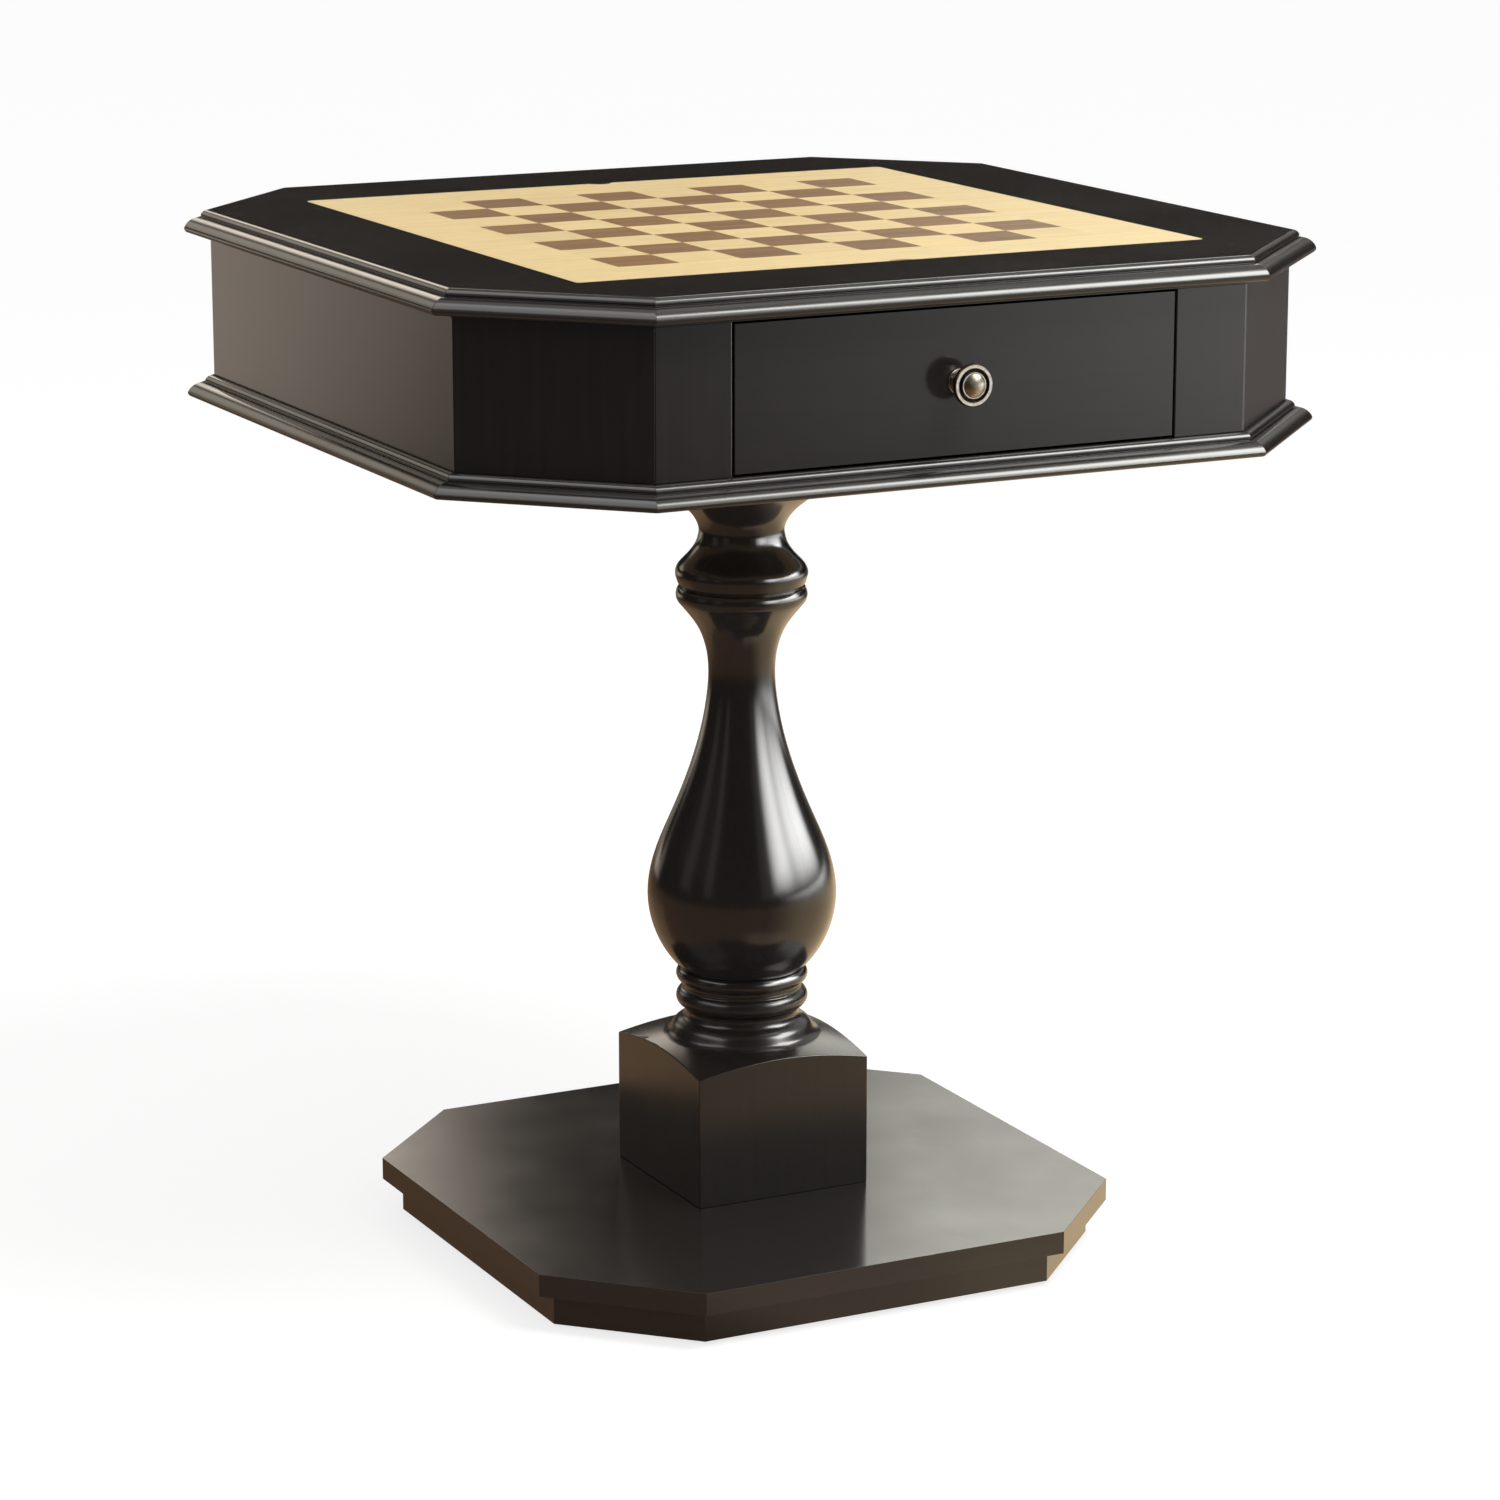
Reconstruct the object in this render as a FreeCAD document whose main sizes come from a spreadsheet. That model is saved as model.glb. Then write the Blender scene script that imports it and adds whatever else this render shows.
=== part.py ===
import FreeCAD, Part

import math
import os
import re

import Sketcher

# A square pedestal games table with clipped corners: a stepped base, a turned column on a square
# block, a drawer case, and a top frame that holds a loose reversible board.
# The origin is on the floor under the column, X to the right, Y to the back, Z up.

doc = FreeCAD.newDocument("games_table")
sheet = doc.addObject("Spreadsheet::Sheet", "Sizes")

# Driving sizes in millimetres, in the order in which the table is put together.
SIZES = [
    # Base: two clipped-corner plates on four glides.
    ("glide_height", 3.0),
    ("glide_radius", 11.0),
    ("glide_tip_radius", 9.0),
    ("glide_inset", 75.8),
    ("base_half", 240.8),
    ("base_corner_cut", 91.4),
    ("base_step", 14.3),
    ("base_lower_thickness", 25.5),
    ("base_upper_thickness", 17.2),
    # Wood screws, driven upwards into pilot holes.
    ("screw_radius", 2.2),
    ("screw_head_radius", 4.6),
    ("screw_head_height", 3.2),
    ("screw_sink", 1.0),
    ("screw_play", 0.4),
    ("base_screw_grip", 9.8),
    ("base_screw_inset", 57.0),
    ("column_screw_grip", 33.7),
    ("column_screw_inset", 10.3),
    # Tie rod from the base to the cleat, with a nut and a washer at each end.
    ("rod_radius", 5.0),
    ("rod_play", 0.5),
    ("rod_end", 1.5),
    ("nut_radius", 9.8),
    ("nut_height", 8.0),
    ("washer_radius", 15.0),
    ("washer_thickness", 2.0),
    ("nut_recess_play", 3.0),
    ("nut_recess_spare", 2.0),
    # Square block with a lathe-turned shoulder, bell, neck and bead.
    ("block_side", 143.8),
    ("block_corner_height", 101.3),
    ("block_arch_rise", 8.1),
    ("shoulder_width", 10.3),
    ("shoulder_rise", 2.4),
    ("bell_radius", 54.7),
    ("bell_height", 23.4),
    ("bead_radius", 50.8),
    ("bead_depth", 5.0),
    ("lower_bead_height", 13.5),
    ("bead_groove_height", 5.2),
    ("tenon_radius", 17.0),
    ("tenon_length", 30.0),
    # Turned vase between two pairs of beads.
    ("vase_bead_height", 12.2),
    ("vase_body_height", 286.0),
    ("vase_belly_radius", 72.5),
    ("vase_collar_radius", 48.2),
    ("vase_collar_height", 11.5),
    ("vase_collar_bulge", 1.9),
    ("collar_groove_height", 3.0),
    ("collar_groove_depth", 1.9),
    ("upper_tenon_radius", 14.0),
    ("upper_tenon_length", 26.0),
    # Capital, square head block and screwed cleat, up to the underside of the case.
    ("capital_turned_height", 75.0),
    ("capital_bead_radius", 50.5),
    ("capital_rim_height", 4.0),
    ("head_tenon_radius", 20.0),
    ("head_tenon_length", 20.0),
    ("head_block_height", 35.7),
    ("cleat_half", 120.0),
    ("cleat_corner_cut", 30.0),
    ("cleat_thickness", 18.0),
    ("cleat_screw_grip", 11.0),
    ("cleat_screw_inset", 12.0),
    # Case: clipped-corner apron on a bottom panel framed by the lower moulding.
    ("case_half", 333.1),
    ("case_corner_cut", 101.8),
    ("stile_width", 57.4),
    ("apron_height", 106.0),
    ("apron_thickness", 16.0),
    ("bottom_thickness", 16.0),
    ("lower_moulding_lap", 30.0),
    ("moulding_flat", 1.6),
    ("thumb_width", 4.9),
    ("thumb_height", 4.5),
    ("thumb_bulge", 1.25),
    ("quirk_width", 0.9),
    ("quirk_height", 1.1),
    ("lower_ovolo_width", 13.2),
    ("lower_ovolo_bulge", 2.7),
    ("lower_nose_height", 3.0),
    ("lower_nose_return", 2.2),
    ("lower_nose_bulge", 0.5),
    ("glue_block_leg", 18.0),
    ("glue_block_gap", 17.0),
    # Top frame of four mitred rails round the board's opening, with the upper moulding.
    ("rail_thickness", 20.0),
    ("rail_width", 84.1),
    ("upper_moulding_lift", 2.8),
    ("upper_ovolo_width", 12.6),
    ("upper_ovolo_bulge", 2.7),
    ("upper_nose_height", 3.6),
    ("upper_nose_return", 3.2),
    ("upper_nose_bulge", 0.9),
    # Panel under the opening that the board lies on.
    ("support_lap", 20.0),
    ("support_thickness", 9.0),
    ("support_corner_play", 3.0),
    ("support_screw_grip", 16.0),
    ("support_screw_place", 150.0),
    # Drawer, flush in the front between two stiles.
    ("drawer_gap", 2.0),
    ("drawer_box_inset", 9.0),
    ("drawer_depth", 450.0),
    ("drawer_side_thickness", 12.0),
    ("drawer_tongue", 6.0),
    ("drawer_bottom_thickness", 4.0),
    ("drawer_bottom_lift", 8.0),
    ("drawer_groove_depth", 4.0),
    # Runners, kickers and stops for the drawer.
    ("slide_gap", 0.3),
    ("runner_base_thickness", 4.0),
    ("runner_ledge_width", 15.0),
    ("runner_lip_width", 15.0),
    ("runner_lip_height", 24.0),
    ("kicker_gap", 0.7),
    ("kicker_width", 28.0),
    ("kicker_thickness", 10.0),
    ("kicker_overreach", 18.3),
    ("stop_thickness", 12.0),
    ("stop_width", 40.0),
    ("stop_height", 30.0),
    ("stop_inset", 65.0),
    # Turned metal knob and its screw.
    ("knob_rosette_radius", 9.0),
    ("knob_rosette_height", 1.4),
    ("knob_ogee_height", 1.4),
    ("knob_ogee_bulge", 0.4),
    ("knob_stem_radius", 5.4),
    ("knob_stem_height", 8.0),
    ("knob_flare_bulge", 1.8),
    ("knob_rim_radius", 14.2),
    ("knob_rim_bulge", 0.8),
    ("knob_rim_height", 16.6),
    ("knob_rim_width", 4.6),
    ("knob_ring_width", 2.2),
    ("knob_groove_width", 2.9),
    ("knob_groove_depth", 1.9),
    ("knob_collar_width", 0.9),
    ("knob_collar_height", 2.3),
    ("knob_dome_sink", 0.2),
    ("knob_dome_height", 3.1),
    ("knob_dome_bulge", 0.8),
    ("knob_dome_flat", 0.5),
    ("knob_screw_radius", 2.0),
    ("knob_screw_head_radius", 4.0),
    ("knob_screw_head_height", 2.4),
    ("knob_screw_grip", 9.0),
    # Loose board: core, solid edging and veneers on both faces.
    ("board_fit", 0.3),
    ("board_corner_radius", 5.0),
    ("edging_width", 9.0),
    ("veneer_thickness", 0.8),
    ("notch_width", 19.0),
    ("notch_depth", 6.5),
    ("chess_border_width", 57.5),
    # Backgammon side of the board.
    ("field_border", 24.0),
    ("field_bar_width", 30.0),
    ("point_tip_place", 39.7),
    # How far a cutting outline runs past the wood that it trims.
    ("cut_overrun", 2.5),
]

for row, (name, length) in enumerate(SIZES, start=1):
    sheet.set(f"A{row}", name.replace("_", " "))
    sheet.set(f"B{row}", str(length))
    sheet.setAlias(f"B{row}", name)
doc.recompute()

NAMES = {name for name, length in SIZES}
UP = FreeCAD.Vector(0, 0, 1)
pieces = []


def bound(expression):
    """An expression over the named sizes, with each name pointed at its cell."""
    return re.sub(
        r"[a-z_]+",
        lambda word: f"Sizes.{word[0]}" if word[0] in NAMES else word[0],
        expression,
    )


def amount(expression):
    """The number that an expression over the named sizes comes to."""
    return float(sheet.evalExpression(bound(expression)))


def tie(thing, path, expression):
    """Bind one property of an object to the named sizes."""
    thing.setExpression(path, bound(expression))


def place(thing, x="0", y="0", z="0", turn=0, lean=None):
    """Seat a piece by its Placement; turn is in degrees about the column's line."""
    spin = FreeCAD.Rotation(UP, turn)
    if lean is not None:
        spin = spin * lean
    thing.Placement = FreeCAD.Placement(FreeCAD.Vector(), spin)
    for axis, expression in zip("xyz", (x, y, z)):
        if expression != "0":
            tie(thing, f"Placement.Base.{axis}", expression)


def keep(thing, label):
    """Count an object as a finished piece under its own name."""
    thing.Label = label
    pieces.append(thing)
    return thing


def loose_body(name):
    body = doc.addObject("PartDesign::Body", name)
    body.AllowCompound = True
    return body


def new_body(label):
    return keep(loose_body(label), label)


def origin_feature(body, role):
    return next(item for item in body.Origin.OriginFeatures if item.Role == role)


def new_sketch(body, role="XY_Plane", lift="0"):
    """A sketch on one of the body's own origin planes, moved along the plane's normal by lift."""
    sketch = body.newObject("Sketcher::SketchObject", f"{body.Name}_sketch")
    sketch.AttachmentSupport = (origin_feature(body, role), [""])
    sketch.MapMode = "FlatFace"
    if lift != "0":
        tie(sketch, "AttachmentOffset.Base.z", lift)
    return sketch


def pin(sketch, edge, end, x, y):
    """Hold one end of a drawn edge at a place given by the named sizes."""
    for kind, axis, expression in (("DistanceX", -2, x), ("DistanceY", -1, y)):
        if abs(amount(expression)) < 1e-9:
            sketch.addConstraint(Sketcher.Constraint("PointOnObject", edge, end, axis))
            continue
        where = Sketcher.Constraint(kind, -1, 1, edge, end, amount(expression))
        tie(sketch, f"Constraints[{sketch.addConstraint(where)}]", expression)


def draw(sketch, corners):
    """Draw a closed outline. A corner is (x, y), reached by a straight run, or (x, y, side,
    bulge), reached by an arc that swells by bulge to the right (1) or the left (-1) of the way."""
    points = [FreeCAD.Vector(amount(corner[0]), amount(corner[1]), 0) for corner in corners]
    ends = []
    for number, corner in enumerate(corners):
        before, here = points[number - 1], points[number]
        if len(corner) == 2:
            edge = sketch.addGeometry(Part.LineSegment(before, here), False)
            ends.append((edge, 1, 2))
            continue
        side, bulge = corner[2], corner[3]
        along = (here - before).normalize()
        out = FreeCAD.Vector(along.y, -along.x, 0) * side
        middle = (before + here) / 2 + out * amount(bulge)
        edge = sketch.addGeometry(Part.Arc(before, middle, here), False)
        ends.append((edge, 1, 2) if side > 0 else (edge, 2, 1))
        old_x, old_y = corners[number - 1][:2]
        chord = f"((({corner[0]}) - ({old_x}))^2 + (({corner[1]}) - ({old_y}))^2)"
        radius = f"{chord} / (8 * ({bulge})) + ({bulge}) / 2"
        held = Sketcher.Constraint("Radius", edge, amount(radius))
        tie(sketch, f"Constraints[{sketch.addConstraint(held)}]", radius)
    for number, corner in enumerate(corners):
        edge, start, end = ends[number]
        following, next_start, next_end = ends[(number + 1) % len(ends)]
        sketch.addConstraint(
            Sketcher.Constraint("Coincident", edge, end, following, next_start)
        )
        pin(sketch, edge, end, corner[0], corner[1])


def draw_circles(sketch, places, radius):
    for x, y in places:
        centre = FreeCAD.Vector(amount(x), amount(y), 0)
        edge = sketch.addGeometry(Part.Circle(centre, UP, amount(radius)), False)
        held = Sketcher.Constraint("Radius", edge, amount(radius))
        tie(sketch, f"Constraints[{sketch.addConstraint(held)}]", radius)
        pin(sketch, edge, 3, x, y)


def pad(body, sketch, length, both_ways=False):
    """Thicken a sketch into solid."""
    feature = body.newObject("PartDesign::Pad", f"{body.Name}_pad")
    feature.Profile = sketch
    feature.Midplane = both_ways
    feature.AllowMultiFace = True
    tie(feature, "Length", length)
    body.Tip = feature
    doc.recompute()
    return feature


def pocket(body, sketch, depth=None, upwards=True):
    """Cut a sketch away, through everything both ways or to a depth, and see that it cut."""
    before = body.Shape.Volume
    feature = body.newObject("PartDesign::Pocket", f"{body.Name}_pocket")
    feature.Profile = sketch
    feature.AllowMultiFace = True
    if depth is None:
        feature.Type = "ThroughAll"
        feature.Midplane = True
    else:
        feature.Type = "Length"
        feature.Reversed = upwards
        tie(feature, "Length", depth)
    body.Tip = feature
    doc.recompute()
    if not body.Shape.Volume < before:
        raise ValueError(f"{body.Label}: a pocket cut nothing")
    return feature


def repeat_round(body, features, count):
    """Repeat features about the body's own upright axis."""
    pattern = body.newObject("PartDesign::PolarPattern", f"{body.Name}_pattern")
    pattern.Originals = features
    pattern.Axis = (origin_feature(body, "Z_Axis"), [""])
    pattern.Angle = 360
    pattern.Occurrences = count
    body.Tip = pattern
    doc.recompute()
    return pattern


def part_object(kind, name, **bindings):
    """A primitive whose properties follow the named sizes."""
    thing = doc.addObject(kind, name)
    for path, expression in bindings.items():
        tie(thing, path, expression)
    return thing


def cut_from(base, tool, name):
    thing = doc.addObject("Part::Cut", name)
    thing.Base = base
    thing.Tool = tool
    return thing


def group(things, name):
    thing = doc.addObject("Part::Compound", name)
    thing.Links = things
    return thing


def on_circle(radius, count, first=0.0):
    """Places evenly round a circle, as expressions; first is the first one's angle in degrees."""
    angles = [math.radians(first + 360.0 * number / count) for number in range(count)]
    return [
        (f"({radius}) * {math.cos(angle):.9f}", f"({radius}) * {math.sin(angle):.9f}")
        for angle in angles
    ]


def bore(places, radius, bottom, depth, name):
    """Upright cylinders to cut with."""
    drills = []
    for x, y in places:
        drill = part_object("Part::Cylinder", f"{name}_drill", Radius=radius, Height=depth)
        place(drill, x, y, bottom)
        drills.append(drill)
    return group(drills, name)


def screws(label, places, underside, thickness, grip):
    """Countersunk wood screws, head down: up through a plate and on by a grip."""
    finished = []
    bottom = f"({underside} + screw_sink)"
    length = f"({thickness} - screw_sink + {grip})"
    for x, y in places:
        head = part_object(
            "Part::Cone",
            f"{label}_head",
            Radius1="screw_head_radius",
            Radius2="screw_radius",
            Height="screw_head_height",
        )
        place(head, x, y, bottom)
        shank = part_object(
            "Part::Cylinder",
            f"{label}_shank",
            Radius="screw_radius",
            Height=f"{length} - screw_head_height",
        )
        place(shank, x, y, f"{bottom} + screw_head_height")
        screw = doc.addObject("Part::Fuse", f"{label}_screw")
        screw.Base = head
        screw.Tool = shank
        finished.append(screw)
    keep(group(finished, f"{label}_group"), label)


def screw_clearance(body, places, thickness):
    """Holes for screws through a plate whose underside is at the body's own zero."""
    shanks = new_sketch(body)
    draw_circles(shanks, places, "screw_radius + screw_play")
    pocket(body, shanks, thickness)
    heads = new_sketch(body)
    draw_circles(heads, places, "screw_head_radius + screw_play")
    pocket(body, heads, "screw_sink + screw_head_height")


def screw_pilots(body, places, depth):
    """Blind holes, as wide as the screws, in the underside of a plate."""
    sketch = new_sketch(body)
    draw_circles(sketch, places, "screw_radius")
    pocket(body, sketch, depth)


def eight_sided(half, cut):
    """Corners of a square of that half width with its corners clipped."""
    near = f"({half}) - ({cut})"
    far = f"({half})"
    quarter = [(far, f"-({near})"), (far, near), (near, far), (f"-({near})", far)]
    return quarter + [(f"-({x})", f"-({y})") for x, y in quarter]


# A run of apron, moulding or panel is named by its face: how far the face stands from the column's
# line, and half its length. A neighbour's face turns away by 45 degrees, so a mitred end grows by
# MITRE for each millimetre outwards.
MITRE = "(sqrt(2) - 1)"
SIDE = ("case_half", "(case_half - case_corner_cut)")
CORNER = ("((2 * case_half - case_corner_cut) / sqrt(2))", "(case_corner_cut / sqrt(2))")
SIDE_TURNS = {"front": 0, "right": 90, "back": 180, "left": 270}

# Half widths of the two openings: the drawer's between its stiles, and the board's in the top.
DRAWER_OPENING = f"({SIDE[1]} - stile_width)"
BOARD_OPENING = "(case_half - rail_width)"


def mitred(face, outer, inner):
    """Plan of a mitred piece on the front of the case, between two offsets from its face."""
    away, half = face
    corners = []
    for offset, hand in ((outer, "-1"), (outer, "1"), (inner, "1"), (inner, "-1")):
        x = f"{hand} * ({half} + ({offset}) * {MITRE})"
        corners.append((x, f"-({away} + ({offset}))"))
    return corners


def mitre_cuts(body, face, outer, inner):
    """Saw both ends of a straight strip to the mitre."""
    away, half = face
    over = "cut_overrun"
    sketch = new_sketch(body)
    beyond = f"({half} + ({outer}) + 2 * {over})"
    for hand in ("1", "-1"):
        near = f"({half} + ({outer} + {over}) * {MITRE})"
        deep = f"({half} + ({inner} - {over}) * {MITRE})"
        front = f"-({away} + {outer} + {over})"
        back = f"-({away} + {inner} - {over})"
        draw(
            sketch,
            [
                (f"{hand} * {near}", front),
                (f"{hand} * {beyond}", front),
                (f"{hand} * {beyond}", back),
                (f"{hand} * {deep}", back),
            ],
        )
    return pocket(body, sketch)


def moulding(label, face, outline, outer, inner, level, turn, copies=1):
    """A moulded strip: its section drawn looking along the strip, run out and mitred."""
    away, half = face
    body = new_body(label)
    sketch = new_sketch(body, "YZ_Plane")
    draw(sketch, [(f"-({away} + ({corner[0]}))",) + tuple(corner[1:]) for corner in outline])
    strip = pad(body, sketch, f"2 * ({half} + ({outer}) * {MITRE})", both_ways=True)
    ends = mitre_cuts(body, face, outer, inner)
    if copies > 1:
        repeat_round(body, [strip, ends], copies)
    place(body, z=level, turn=turn)


# Levels of the parts above the floor.
UPPER_PLATE = "(glide_height + base_lower_thickness)"
COLUMN_FOOT = f"({UPPER_PLATE} + base_upper_thickness)"
BLOCK_CROWN = "(block_corner_height + block_arch_rise)"
SHOULDER_TOP = f"({BLOCK_CROWN} + shoulder_rise)"
LOWER_BEAD = f"({SHOULDER_TOP} + bell_height)"
LOWER_BEAD_TOP = f"({LOWER_BEAD} + lower_bead_height)"
BLOCK_TOP = f"({LOWER_BEAD_TOP} + bead_groove_height / 2)"
VASE_FOOT = f"({COLUMN_FOOT} + {BLOCK_TOP})"
VASE_BODY = "(bead_groove_height / 2 + vase_bead_height)"
VASE_COLLAR = f"({VASE_BODY} + vase_body_height)"
VASE_TOP = f"({VASE_COLLAR} + vase_collar_height + collar_groove_height / 2)"
CAPITAL_FOOT = f"({VASE_FOOT} + {VASE_TOP})"
CAPITAL_TURNED = "(collar_groove_height / 2 + capital_turned_height)"
CAPITAL_TOP = f"({CAPITAL_TURNED} + capital_rim_height)"
HEAD_BLOCK = f"({CAPITAL_FOOT} + {CAPITAL_TOP})"
CLEAT = f"({HEAD_BLOCK} + head_block_height)"
CASE_BOTTOM = f"({CLEAT} + cleat_thickness)"
APRON = f"({CASE_BOTTOM} + bottom_thickness)"
RAIL = f"({APRON} + apron_height)"
TABLE_TOP = f"({RAIL} + rail_thickness)"

BEAD_ROOT = "(bead_radius - bead_depth)"
COLLAR_GROOVE = "(vase_collar_radius - collar_groove_depth)"

BASE_SCREWS = on_circle("base_half - base_screw_inset", 8, first=22.5)
COLUMN_SCREWS = on_circle("block_side / 2 - column_screw_inset", 4, first=45)
CLEAT_SCREWS = on_circle("cleat_half - cleat_screw_inset", 8, first=22.5)
ROD_HOLE = "rod_radius + rod_play"
NUT_RECESS_RADIUS = "(washer_radius + nut_recess_play)"
NUT_RECESS_DEPTH = "(washer_thickness + nut_height + nut_recess_spare)"
CENTRE = [("0", "0")]


def make_base():
    """Glides, the two plates and the screws that join them."""
    glides = []
    glide_place = "(base_half - glide_inset)"
    for x in (f"-{glide_place}", glide_place):
        for y in (f"-{glide_place}", glide_place):
            glide = part_object(
                "Part::Cone",
                "glide",
                Radius1="glide_tip_radius",
                Radius2="glide_radius",
                Height="glide_height",
            )
            place(glide, x, y)
            glides.append(glide)
    keep(group(glides, "glide_group"), "base_glides")

    lower = new_body("base_lower_plate")
    outline = new_sketch(lower)
    lower_cut = "base_corner_cut - base_step * (2 - sqrt(2))"
    draw(outline, eight_sided("base_half - base_step", lower_cut))
    pad(lower, outline, "base_lower_thickness")
    rod_hole = new_sketch(lower)
    draw_circles(rod_hole, CENTRE, ROD_HOLE)
    pocket(lower, rod_hole)
    recess = new_sketch(lower)
    draw_circles(recess, CENTRE, NUT_RECESS_RADIUS)
    pocket(lower, recess, NUT_RECESS_DEPTH)
    screw_clearance(lower, BASE_SCREWS, "base_lower_thickness")
    place(lower, z="glide_height")

    upper = new_body("base_upper_plate")
    outline = new_sketch(upper)
    draw(outline, eight_sided("base_half", "base_corner_cut"))
    pad(upper, outline, "base_upper_thickness")
    rod_hole = new_sketch(upper)
    draw_circles(rod_hole, CENTRE, ROD_HOLE)
    pocket(upper, rod_hole)
    screw_pilots(upper, BASE_SCREWS, "base_screw_grip")
    screw_clearance(upper, COLUMN_SCREWS, "base_upper_thickness")
    place(upper, z=UPPER_PLATE)

    screws("base_screws", BASE_SCREWS, "glide_height", "base_lower_thickness", "base_screw_grip")
    screws("column_screws", COLUMN_SCREWS, UPPER_PLATE, "base_upper_thickness", "column_screw_grip")


def point(radius, height):
    """A place on a turning's outline."""
    return FreeCAD.Vector(radius, 0, height)


def line_through(points):
    return [Part.makeLine(a, b) for a, b in zip(points[:-1], points[1:])]


def spline_through(points, leads=None):
    """A smooth curve through places on an outline, which can be told how it sets off and ends."""
    curve = Part.BSplineCurve()
    if leads is None:
        curve.interpolate(points)
    else:
        curve.interpolate(Points=points, InitialTangent=leads[0], FinalTangent=leads[1])
    return curve.toShape()


def bulged(start, end, bulge):
    """An arc between two places on an outline that swells away from the column's line."""
    along = (end - start).normalize()
    out = FreeCAD.Vector(along.z, 0, -along.x)
    return Part.Arc(start, (start + end) / 2 + out * bulge, end).toShape()


def turn_solid(edges):
    """Spin a closed half outline about the column's line."""
    face = Part.Face(Part.Wire(Part.__sortEdges__(edges)))
    return face.revolve(FreeCAD.Vector(), UP, 360)


def turned(label, edges, level):
    """A turned piece; its Shape is set first and its Placement after."""
    piece = doc.addObject("Part::Feature", label)
    piece.Shape = turn_solid(edges)
    piece.Placement = FreeCAD.Placement(FreeCAD.Vector(0, 0, amount(level)), FreeCAD.Rotation())
    return piece


def make_block():
    """The square block. Its shoulder, bell, neck and bead are turned, so the shoulder meets the
    flat faces in arches."""
    hole = amount(ROD_HOLE)
    half = amount("block_side / 2")
    corner = amount("block_side / sqrt(2)")
    corner_height = amount("block_corner_height")
    crown_height = amount(BLOCK_CROWN)
    beyond = corner + amount("cut_overrun")
    fall = (crown_height - corner_height) / (corner - half)
    rim = point(beyond, corner_height - fall * (beyond - corner))
    shoulder_top = point(amount("block_side / 2 - shoulder_width"), amount(SHOULDER_TOP))
    bell = amount("bell_radius")
    # Height as a share of the bell's height, and radius as a share of the bell's.
    bell_shares = [
        (0.051, 1.079),
        (0.124, 1.038),
        (0.222, 1.009),
        (0.350, 0.980),
        (0.462, 0.938),
        (0.543, 0.885),
        (0.611, 0.841),
        (0.697, 0.815),
        (0.812, 0.804),
        (0.923, 0.815),
    ]
    bell_points = [
        point(bell * wide_share, shoulder_top.z + amount("bell_height") * high_share)
        for high_share, wide_share in bell_shares
    ]
    root = amount(BEAD_ROOT)
    bead_bottom = point(root, amount(LOWER_BEAD))
    bead_top = point(root, amount(LOWER_BEAD_TOP))
    top = amount(BLOCK_TOP)
    socket = amount("tenon_radius")
    socket_floor = top - amount("tenon_length + slide_gap")
    edges = line_through([point(hole, 0), point(beyond, 0), rim, point(corner, corner_height)])
    shoulder = Part.Arc(point(corner, corner_height), point(half, crown_height), shoulder_top)
    edges.append(shoulder.toShape())
    lead_in = shoulder.tangent(shoulder.LastParameter)[0]
    lead_out = bead_bottom - bell_points[-1]
    edges.append(
        spline_through([shoulder_top] + bell_points + [bead_bottom], (lead_in, lead_out))
    )
    edges.append(bulged(bead_bottom, bead_top, amount("bead_depth")))
    edges += line_through(
        [
            bead_top,
            point(root, top),
            point(socket, top),
            point(socket, socket_floor),
            point(hole, socket_floor),
            point(hole, 0),
        ]
    )
    turning = turned("block_turning", edges, COLUMN_FOOT)

    square = part_object(
        "Part::Box",
        "block_square",
        Length="block_side",
        Width="block_side",
        Height=BLOCK_TOP,
    )
    place(square, "-block_side / 2", "-block_side / 2", COLUMN_FOOT)
    shaped = doc.addObject("Part::Common", "block_shaped")
    shaped.Base = square
    shaped.Tool = turning
    pilots = bore(
        COLUMN_SCREWS, "screw_radius", COLUMN_FOOT, "column_screw_grip", "block_pilots"
    )
    keep(cut_from(shaped, pilots, "block_bored"), "column_block")


def make_vase():
    """The vase-shaped shaft with its beads, bored for the tie rod and tenoned at both ends."""
    hole = amount(ROD_HOLE)
    root = amount(BEAD_ROOT)
    belly = amount("vase_belly_radius")
    collar = amount("vase_collar_radius")
    groove = amount(COLLAR_GROOVE)
    tall = amount("vase_body_height")
    foot = amount(VASE_BODY)
    top = amount(VASE_TOP)
    tenon = amount("tenon_radius")
    tenon_foot = -amount("tenon_length")
    small = amount("upper_tenon_radius")
    tenon_top = top + amount("upper_tenon_length")
    bead_foot = point(root, amount("bead_groove_height / 2"))
    bead_top = point(root, foot)
    # Height as a share of the body's height, and radius as a share of the belly's.
    outline_shares = [
        (0.0, 0.660),
        (0.016, 0.719),
        (0.034, 0.777),
        (0.092, 0.909),
        (0.204, 1.0),
        (0.319, 0.916),
        (0.424, 0.746),
        (0.535, 0.572),
        (0.668, 0.421),
        (0.738, 0.373),
        (0.814, 0.351),
        (0.863, 0.368),
        (0.899, 0.404),
        (0.930, 0.456),
        (0.961, 0.537),
    ]
    body_points = [
        point(belly * wide_share, foot + tall * high_share)
        for high_share, wide_share in outline_shares
    ]
    collar_foot = point(collar, foot + tall)
    collar_top = point(collar, top - amount("collar_groove_height / 2"))
    edges = line_through(
        [
            point(hole, tenon_foot),
            point(tenon, tenon_foot),
            point(tenon, 0),
            point(root, 0),
            bead_foot,
        ]
    )
    edges.append(bulged(bead_foot, bead_top, amount("bead_depth")))
    edges += line_through([bead_top, body_points[0]])
    edges.append(spline_through(body_points + [collar_foot]))
    edges.append(bulged(collar_foot, collar_top, amount("vase_collar_bulge")))
    edges += line_through(
        [
            collar_top,
            point(groove, collar_top.z),
            point(groove, top),
            point(small, top),
            point(small, tenon_top),
            point(hole, tenon_top),
            point(hole, tenon_foot),
        ]
    )
    keep(turned("column_vase", edges, VASE_FOOT), "column_vase")


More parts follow.
